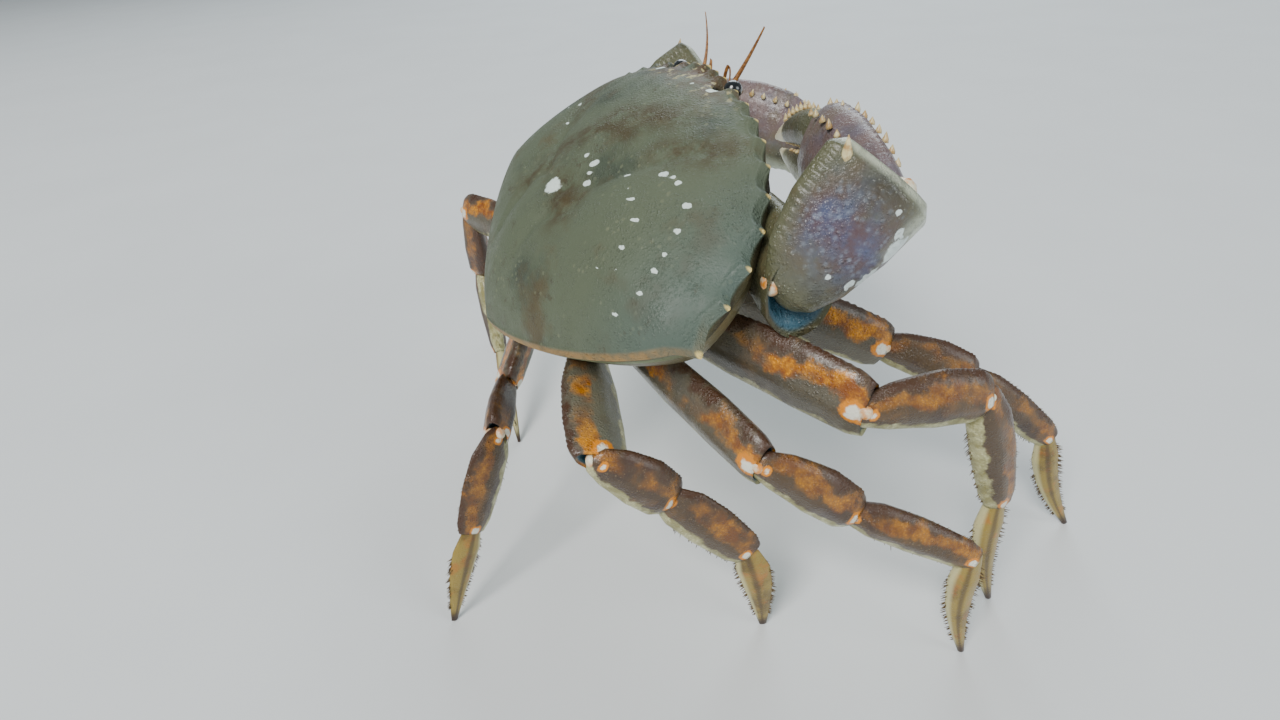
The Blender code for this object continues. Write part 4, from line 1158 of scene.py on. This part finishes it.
def build_claw_arm(name, side, rng):
    """Shape merus, carpus, palm with its fixed finger, and the moving finger."""
    kind = "claw_arm"
    joints, ways, lengths = limb_chain(name, kind, side)
    depths = [value * MM for value in DEPTHS[kind]]
    widths = [value * MM for value in WIDTHS[kind]]
    merus = add_tube(f"{name}_merus_skin", 56, 56)
    shape_tube(merus, "cup", lengths[0] + 0.003, depths[0], widths[0], 0.02, 0.2, 0.10,
               claw_relief, cup=0.9)
    to_place(merus, line_matrix(joints[0], ways[0], UP))
    finish_piece(merus, material("claw"), f"{name}_merus")
    carpus = add_tube(f"{name}_carpus_skin", 80, 70)
    station, turn = shape_tube(carpus, "wrist", lengths[1], depths[1], widths[1], 0.02,
                               CARPUS_KEEL, 0.14, claw_relief, cup=0.7)
    outer = -side * np.cos(turn)
    upper = np.sin(turn)
    set_mask(carpus, "purple", smooth_step(outer, 0.1, 0.6) * np.exp(-((station - 0.55) / 0.28) ** 2))
    below = smooth_step(-upper, 0.10, 0.50) * smooth_step(station, 0.50, 0.85)
    set_mask(carpus, "pale_edge", np.maximum(below, 0.8 * smooth_step(station, 0.93, 0.98)))
    scar = np.zeros_like(station)
    for along, high, size in CARPUS_SCARS:
        away = ((station - along) / size) ** 2 + ((upper - high) / (size * 1.8)) ** 2
        scar = np.maximum(scar, np.exp(-away))
    set_mask(carpus, "scar", scar * (outer > 0.0))
    to_place(carpus, line_matrix(joints[1], ways[1], UP))
    finish_piece(carpus, material("claw"), f"{name}_carpus")
    joints[2] = joints[2] - UP * PALM_DROP
    joints[3] = joints[3] - UP * PALM_DROP
    across = UP.cross(ways[2]).normalized()
    palm_up = ways[2].cross(across).normalized()
    palm = add_tube(f"{name}_palm_skin", 96, 90)
    shape_tube(palm, "palm", lengths[2], depths[2], widths[2], 0.02, 0.15, 0.12, claw_relief)
    to_place(palm, line_matrix(joints[2], ways[2], UP))
    low = joints[3] - palm_up * depths[2] * 0.20 - ways[2] * 0.006
    low_way = (ways[3] + palm_up * 0.11).normalized()
    fixed = add_tube("fixed", 48, 60)
    shape_tube(fixed, "finger", lengths[3] * 0.92, depths[2] * 0.40, widths[3], -0.03, 0.0, 0.2,
               claw_relief)
    to_place(fixed, line_matrix(low, low_way, palm_up))
    palm = join(f"{name}_palm_skin", [palm, fixed])
    modify(palm, "REMESH", mode="VOXEL", voxel_size=PALM_VOXEL)
    modify(palm, "SMOOTH", factor=0.5, iterations=2)
    points = points_of(palm)
    along = (points - np.array(joints[3])) @ np.array(ways[3])
    set_mask(palm, "tip", smooth_step(along, 0.022, 0.036))
    high_up = (points - np.array(joints[2])) @ np.array(palm_up)
    set_mask(palm, "pale_edge", smooth_step(-high_up, 0.006, 0.013))
    set_mask(palm, "purple", 0.7 * smooth_step(high_up, -0.008, 0.006))
    set_mask(palm, "pink", smooth_step(high_up, -0.006, 0.008))
    finish_piece(palm, material("claw"), f"{name}_palm")
    high = joints[3] + palm_up * depths[2] * 0.20 - ways[2] * 0.002
    high_way = (ways[3] + palm_up * -0.11).normalized()
    finger = add_tube(f"{name}_dactyl_skin", 56, 70)
    station, _ = shape_tube(finger, "finger", lengths[3], depths[3], widths[3], 0.05, 0.1, 0.10,
                            claw_relief)
    set_mask(finger, "tip", smooth_step(station, 0.62, 0.85))
    to_place(finger, line_matrix(high, high_way, palm_up))
    finish_piece(finger, material("claw"), f"{name}_dactyl")
    thorns = []
    place = line_matrix(joints[2], ways[2], UP)
    for row, count in PALM_THORN_ROWS:
        for number in range(count):
            share = 0.12 + 0.80 * number / (count - 1)
            size = float(profile_size("palm", share))
            height = depths[2] * 0.5 * size * (1.12 - 0.45 * abs(row))
            root = place @ Vector((row * widths[2] * size, height * 0.96, lengths[2] * share))
            way = place.to_3x3() @ Vector((row * 0.8, 1.0, 0.35))
            thorns.append(aim(root, way, 0.0010, 0.0024 * rng.uniform(0.8, 1.2)))
    place = line_matrix(high, high_way, palm_up)
    for number in range(FINGER_THORNS):
        share = 0.10 + 0.66 * number / (FINGER_THORNS - 1.0)
        size = float(profile_size("finger", share))
        height = depths[3] * 0.52 * size + 0.05 * lengths[3] * math.sin(math.pi * share)
        root = place @ Vector((0.0, height, lengths[3] * share))
        way = place.to_3x3() @ Vector((0.0, 1.0, 0.3))
        thorns.append(aim(root, way, 0.0009, 0.0026 * rng.uniform(0.8, 1.2)))
    place = line_matrix(joints[1], ways[1], UP)
    inward, upward, outward = CARPUS_SPINE_PLACE
    base = Vector((-side * inward * widths[1], upward * depths[1], outward * lengths[1]))
    inward, upward, outward = CARPUS_SPINE_REACH
    way = Vector((-side * inward, upward, outward))
    thorns.append(aim(place @ base, place.to_3x3() @ way, 0.0015, way.length))
    piece = scatter(f"{name}_thorns", small_cone(8), thorns)
    finish_piece(piece, material("thorn"))
    teeth = []
    for place, long, deep, bow, edge in (
            (line_matrix(high, high_way, palm_up), lengths[3], depths[3], 0.05, -1.0),
            (line_matrix(low, low_way, palm_up), lengths[3] * 0.92, depths[2] * 0.40, -0.03, 1.0)):
        for number in range(FINGER_TEETH):
            share = 0.22 + 0.075 * number
            size = float(profile_size("finger", share))
            height = edge * 0.47 * deep * size + bow * long * math.sin(math.pi * share)
            root = place @ Vector((0.0, height, long * share))
            way = place.to_3x3() @ Vector((0.0, edge, 0.0))
            wide = 0.0012 * size * rng.uniform(0.8, 1.2)
            teeth.append(aim(root, way, wide, wide * 0.9))
    piece = scatter(f"{name}_finger_teeth", small_knob(), teeth)
    finish_piece(piece, material("thorn"))


def build_joints(name, kind, side):
    """Shape the soft skin and the hinge knobs at the joints of one limb."""
    joints, ways, _ = limb_chain(name, kind, side)
    if kind == "claw_arm":
        joints[2] = joints[2] - UP * PALM_DROP * 0.5
        joints = joints[:3]
    skins, knobs = [], []
    for number in range(1, len(joints) if kind == "claw_arm" else 4):
        depth = DEPTHS[kind][number] * MM
        width = WIDTHS[kind][number] * MM
        way = (ways[number - 1] + ways[number]).normalized()
        place = line_matrix(joints[number], way, UP)
        bpy.ops.object.select_all(action="DESELECT")
        bpy.ops.mesh.primitive_uv_sphere_add(segments=36, ring_count=24, radius=1.0)
        skin = bpy.context.active_object
        points = points_of(skin)
        fold = 1.0 + 0.03 * np.sin(points[:, 2] * 14.0)
        tight = 0.60 + 0.40 * max(0.0, ways[number - 1].dot(ways[number]))
        sizes = np.array(SKIN_SHARES) * np.array((width, depth, depth))
        skin_points = points * sizes * tight
        skin_points[:, :2] *= fold[:, None]
        set_points(skin, skin_points)
        to_place(skin, place)
        skins.append(skin)
        hinge = line_matrix(joints[number], ways[number - 1], UP).to_3x3() @ Vector((1.0, 0.0, 0.0))
        for end in (1.0, -1.0):
            root = joints[number] + hinge * end * width * 0.30 + UP * depth * 0.10
            knobs.append(aim(root, hinge * end, 0.12 * depth, 0.09 * depth))
    skin = join(f"{name}_joint_skin", skins)
    finish_piece(skin, material("joint_skin"))
    knob = scatter(f"{name}_hinges", small_knob(), knobs)
    finish_piece(knob, material("hinge"))


def build_hair(name, kind, side, finish, rng):
    """Comb short bristles along the edges of a leg's last two pieces."""
    joints, ways, lengths = limb_chain(name, kind, side)
    places = []
    for number, part, first, last, count in BRISTLE_ROWS:
        place = line_matrix(joints[number], ways[number], piece_up(name, number, ways[number]))
        bow = LEG_PIECES[number][1]
        if part == "dactyl" and kind == "leg_4":
            bow = REAR_DACTYL_BOW
        for edge in (1.0, -1.0):
            for _ in range(count):
                share = rng.uniform(first, last)
                size = float(profile_size(part, share))
                half = DEPTHS[kind][number] * MM * 0.5 * size
                offset = bow * lengths[number] * math.sin(math.pi * share)
                root = Vector((rng.uniform(-0.14, 0.14) * WIDTHS[kind][number] * MM * size,
                               edge * half * 0.93 + offset, lengths[number] * share))
                way = Vector((rng.uniform(-0.25, 0.25), edge, rng.uniform(0.5, 1.1)))
                long = finish.hair_length * rng.uniform(0.6, 1.1) * (1.2 - 0.7 * share)
                spot = place @ root
                if spot.z > 0.004:
                    places.append(aim(spot, place.to_3x3() @ way, BRISTLE_RADIUS, long))
    hair = scatter(f"{name}_hair", small_cone(3, 2), places)
    finish_piece(hair, material("hair"))


def build_head(finish):
    """Shape eyes on their stalks, the long feelers and the small folded ones."""
    for side, word in ((1.0, "right"), (-1.0, "left")):
        place = Vector((side * EYE_PLACE[0], EYE_PLACE[1] + 0.002, EYE_PLACE[2])) * SHELL_WIDTH
        bpy.ops.object.select_all(action="DESELECT")
        bpy.ops.mesh.primitive_uv_sphere_add(segments=48, ring_count=32, radius=1.0)
        eye = bpy.context.active_object
        bpy.ops.object.mode_set(mode="EDIT")
        pick(eye, "VERT", lambda vert: vert.co.z < -0.55)
        bpy.ops.mesh.extrude_region_move(TRANSFORM_OT_translate={"value": (0.0, 0.0, -0.9)})
        bpy.ops.transform.resize(value=(0.9, 0.9, 0.4))
        bpy.ops.object.mode_set(mode="OBJECT")
        points = points_of(eye)
        set_mask(eye, "lens", smooth_step(points[:, 2], -0.25, 0.05))
        way = Vector((side * EYE_WAY[0], EYE_WAY[1], EYE_WAY[2]))
        to_place(eye, BODY @ aim(place, way, finish.eye_radius, finish.eye_radius * 1.05))
        eye.name = f"{word}_eye_skin"
        finish_piece(eye, material("eye"), f"{word}_eye")
        feeler = add_tube(f"{word}_antenna_skin", 12, 90)
        unit = points_of(feeler)
        share = np.clip(unit[:, 2] + 0.5, 0.0, 1.0)
        ring = 1.0 + 0.12 * np.cos(share * 2.0 * math.pi * 40.0)
        radius = 0.0006 * (1.5 - 1.05 * share) * ring
        x = side * (0.060 * SHELL_WIDTH + 0.004 * share + 0.005 * share ** 2) + unit[:, 0] * radius
        y = 0.3120 * SHELL_WIDTH + 0.019 * 0.80 * share
        z = 0.022 * SHELL_WIDTH + 0.019 * (0.30 * share + 0.25 * share ** 2) + unit[:, 1] * radius
        set_points(feeler, np.stack((x, y, z), axis=1))
        to_place(feeler, BODY)
        small = add_tube(f"{word}_small_feeler", 10, 40)
        unit = points_of(small)
        share = np.clip(unit[:, 2] + 0.5, 0.0, 1.0)
        radius = 0.00055 * (1.35 - 0.85 * share)
        bend = np.sin(share * math.pi)
        x = side * (0.026 * SHELL_WIDTH + 0.0035 * share) + unit[:, 0] * radius
        y = 0.3140 * SHELL_WIDTH + 0.0042 * bend
        z = 0.018 * SHELL_WIDTH + 0.0050 * bend * (1.0 - 0.4 * share) + unit[:, 1] * radius
        set_points(small, np.stack((x, y, z), axis=1))
        to_place(small, BODY)
        feeler = join(f"{word}_antenna_skin", [feeler, small])
        finish_piece(feeler, material("feeler"), f"{word}_antenna")


def add_lamp(name, place, target, size, power, tint):
    """Add one soft area lamp that looks at a point."""
    bpy.ops.object.select_all(action="DESELECT")
    bpy.ops.object.light_add(type="AREA", location=place)
    lamp = bpy.context.active_object
    lamp.name = name
    lamp.data.size = size
    lamp.data.energy = power
    lamp.data.color = tint
    lamp.rotation_euler = (Vector(target) - Vector(place)).to_track_quat("-Z", "Y").to_euler()


def build_stage(stage):
    """Lay the pale floor, hang the soft lamps and set the camera."""
    bpy.ops.object.select_all(action="DESELECT")
    bpy.ops.mesh.primitive_plane_add(size=1.0)
    floor = bpy.context.active_object
    floor.name = "floor"
    bpy.ops.object.mode_set(mode="EDIT")
    bpy.ops.mesh.select_all(action="SELECT")
    bpy.ops.transform.resize(value=(stage.floor_size, stage.floor_size, 1.0))
    bpy.ops.mesh.subdivide(number_cuts=3)
    bpy.ops.object.mode_set(mode="OBJECT")
    mat, graph, shader = new_material("floor_paper", 0.75)
    tone = graph.band(graph.noise(9.0, 4.0), 0.2, 0.8)
    ground = tuple(stage.floor_colour) + (1.0,)
    second = tuple(value * 0.96 for value in stage.floor_colour) + (1.0,)
    graph.feed(shader.inputs["Base Color"], graph.mix(tone, ground, second))
    floor.data.materials.append(mat)
    world = bpy.data.worlds.new("studio")
    world.use_nodes = True
    world.node_tree.nodes["Background"].inputs["Color"].default_value = SKY_COLOUR
    world.node_tree.nodes["Background"].inputs["Strength"].default_value = stage.sky_strength
    bpy.context.scene.world = world
    for name, place, size, share, tint in LAMPS:
        add_lamp(name, place, LAMP_TARGET, size, stage.key_power * share, tint)
    bpy.ops.object.camera_add(location=Vector(BODY_AT) + Vector(CAMERA_OFFSET),
                              rotation=tuple(math.radians(value) for value in CAMERA_TURN))
    camera = bpy.context.active_object
    camera.name = "camera"
    camera.data.sensor_width = 36.0
    camera.data.lens = stage.lens
    camera.data.clip_start = 0.01
    camera.data.clip_end = 20.0
    bpy.context.scene.camera = camera


class CrabFinish(bpy.types.PropertyGroup):
    """Sizes and colours of the crab's surfaces."""

    back_colour: bpy.props.FloatVectorProperty(
        name="Back colour", description="Ground colour of the carapace", subtype="COLOR",
        size=3, min=0.0, max=1.0, default=colour(88, 96, 76)[:3])
    claw_colour: bpy.props.FloatVectorProperty(
        name="Claw colour", description="Ground colour of the claw arms", subtype="COLOR",
        size=3, min=0.0, max=1.0, default=colour(92, 92, 68)[:3])
    leg_colour: bpy.props.FloatVectorProperty(
        name="Leg colour", description="Ground colour of the walking legs' faces",
        subtype="COLOR", size=3, min=0.0, max=1.0, default=colour(80, 65, 48)[:3])
    rim_height: bpy.props.FloatProperty(
        name="Rim height", description="Height of the bead along the shell's margin",
        subtype="DISTANCE", unit="LENGTH", min=0.0, max=0.003, default=0.0007)
    hair_length: bpy.props.FloatProperty(
        name="Hair length", description="Length of the longest leg bristles",
        subtype="DISTANCE", unit="LENGTH", min=0.0005, max=0.005, default=0.0022)
    eye_radius: bpy.props.FloatProperty(
        name="Eye radius", description="Radius of the eye's dark lens",
        subtype="DISTANCE", unit="LENGTH", min=0.001, max=0.004, default=0.0028)


class CrabStage(bpy.types.PropertyGroup):
    """Floor, lamps and lens of the picture."""

    floor_colour: bpy.props.FloatVectorProperty(
        name="Floor colour", description="Colour of the pale floor", subtype="COLOR",
        size=3, min=0.0, max=1.0, default=(0.74, 0.76, 0.77))
    floor_size: bpy.props.FloatProperty(
        name="Floor size", description="Side of the square floor", subtype="DISTANCE",
        unit="LENGTH", min=1.0, max=20.0, default=8.0)
    sky_strength: bpy.props.FloatProperty(
        name="Sky strength", description="Strength of the even light all round",
        min=0.0, max=3.0, default=0.31)
    key_power: bpy.props.FloatProperty(
        name="Key power", description="Power of the main lamp", subtype="POWER",
        unit="POWER", min=0.0, max=900.0, default=122.0)
    lens: bpy.props.FloatProperty(
        name="Lens", description="Focal length on a 36 mm wide picture",
        subtype="DISTANCE_CAMERA", min=8.0, max=200.0, default=19.69)


class CRAB_OT_finishes(bpy.types.Operator):
    """Make every material of the crab"""

    bl_idname = "crab.finishes"
    bl_label = "Finishes"

    def execute(self, context):
        """Make the materials."""
        finish = context.scene.crab_finish
        mottle = make_mottle_group()
        grain = make_grain_group()
        MATERIALS.update(
            shell=make_shell_material(finish, mottle, grain),
            leg=make_leg_material(finish, mottle, grain),
            leg_tip=make_tip_material(mottle, grain),
            claw=make_claw_material(finish, mottle, grain),
            belly=make_belly_material(mottle, grain),
            joint_skin=make_skin_material("joint_skin", colour(20, 36, 44), colour(50, 84, 102), 0.30),
            hinge=make_plain_material("hinge_knob", colour(234, 230, 204), colour(220, 136, 40),
                                      300.0, 0.35, 0.3),
            thorn=make_plain_material("thorn_horn", colour(226, 212, 160), colour(186, 150, 96),
                                      600.0, 0.35, 0.2),
            hair=make_plain_material("bristle", colour(112, 90, 54), colour(70, 54, 32), 900.0, 0.6),
            feeler=make_plain_material("feeler_horn", colour(168, 116, 60), colour(110, 70, 38),
                                       900.0, 0.45),
            eye=make_eye_material())
        return {"FINISHED"}


class CRAB_OT_carapace(bpy.types.Operator):
    """Build the back shell with its teeth and scars"""

    bl_idname = "crab.carapace"
    bl_label = "Carapace"

    def execute(self, context):
        """Make the pieces."""
        build_carapace(context.scene.crab_finish)
        return {"FINISHED"}


class CRAB_OT_underside(bpy.types.Operator):
    """Build the underbody, the folded abdomen and the mouth plates"""

    bl_idname = "crab.underside"
    bl_label = "Underside"

    def execute(self, context):
        """Make the pieces."""
        build_underbody()
        build_flap_and_mouth()
        return {"FINISHED"}


class CRAB_OT_legs(bpy.types.Operator):
    """Build the eight walking legs with their joints and bristles"""

    bl_idname = "crab.legs"
    bl_label = "Walking legs"

    def execute(self, context):
        """Make the pieces."""
        rng = random.Random(5)
        for side, word in ((1.0, "right"), (-1.0, "left")):
            for number in range(1, 5):
                name, kind = f"{word}_leg_{number}", f"leg_{number}"
                build_leg(name, kind, side)
                build_joints(name, kind, side)
                build_hair(name, kind, side, context.scene.crab_finish, rng)
        return {"FINISHED"}


class CRAB_OT_claws(bpy.types.Operator):
    """Build the two claw arms with their thorns and joints"""

    bl_idname = "crab.claws"
    bl_label = "Claw arms"

    def execute(self, context):
        """Make the pieces."""
        rng = random.Random(8)
        for side, word in ((1.0, "right"), (-1.0, "left")):
            build_claw_arm(f"{word}_claw_arm", side, rng)
            build_joints(f"{word}_claw_arm", "claw_arm", side)
        return {"FINISHED"}


class CRAB_OT_head(bpy.types.Operator):
    """Build the eyes and the feelers"""

    bl_idname = "crab.head"
    bl_label = "Head"

    def execute(self, context):
        """Make the pieces."""
        build_head(context.scene.crab_finish)
        return {"FINISHED"}


class CRAB_OT_stage(bpy.types.Operator):
    """Lay the floor, hang the lamps and set the camera"""

    bl_idname = "crab.stage"
    bl_label = "Stage"

    def execute(self, context):
        """Make the pieces."""
        build_stage(context.scene.crab_stage)
        return {"FINISHED"}


class CRAB_PT_panel(bpy.types.Panel):
    """Lists the crab's pieces, sizes and colours"""

    bl_idname = "CRAB_PT_panel"
    bl_label = "Dungeness crab"
    bl_space_type = "VIEW_3D"
    bl_region_type = "UI"
    bl_category = "Crab"

    def draw(self, context):
        """List the sizes, the colours and the steps."""
        for group in (context.scene.crab_finish, context.scene.crab_stage):
            for name in group.__annotations__:
                self.layout.prop(group, name)
        for maker in MAKERS:
            self.layout.operator(maker.bl_idname)


MAKERS = (CRAB_OT_finishes, CRAB_OT_carapace, CRAB_OT_underside, CRAB_OT_legs, CRAB_OT_claws,
          CRAB_OT_head, CRAB_OT_stage)
CLASSES = (CrabFinish, CrabStage) + MAKERS + (CRAB_PT_panel,)


def register():
    """Register the classes and hang the settings on the scene."""
    for item in CLASSES:
        bpy.utils.register_class(item)
    bpy.types.Scene.crab_finish = bpy.props.PointerProperty(type=CrabFinish)
    bpy.types.Scene.crab_stage = bpy.props.PointerProperty(type=CrabStage)


def unregister():
    """Take the settings and the classes away again."""
    del bpy.types.Scene.crab_stage
    del bpy.types.Scene.crab_finish
    for item in reversed(CLASSES):
        bpy.utils.unregister_class(item)


def main():
    """Build every piece in order."""
    register()
    bpy.ops.crab.finishes()
    bpy.ops.crab.stage()
    bpy.ops.crab.carapace()
    bpy.ops.crab.underside()
    bpy.ops.crab.legs()
    bpy.ops.crab.claws()
    bpy.ops.crab.head()


if __name__ == "__main__":
    main()
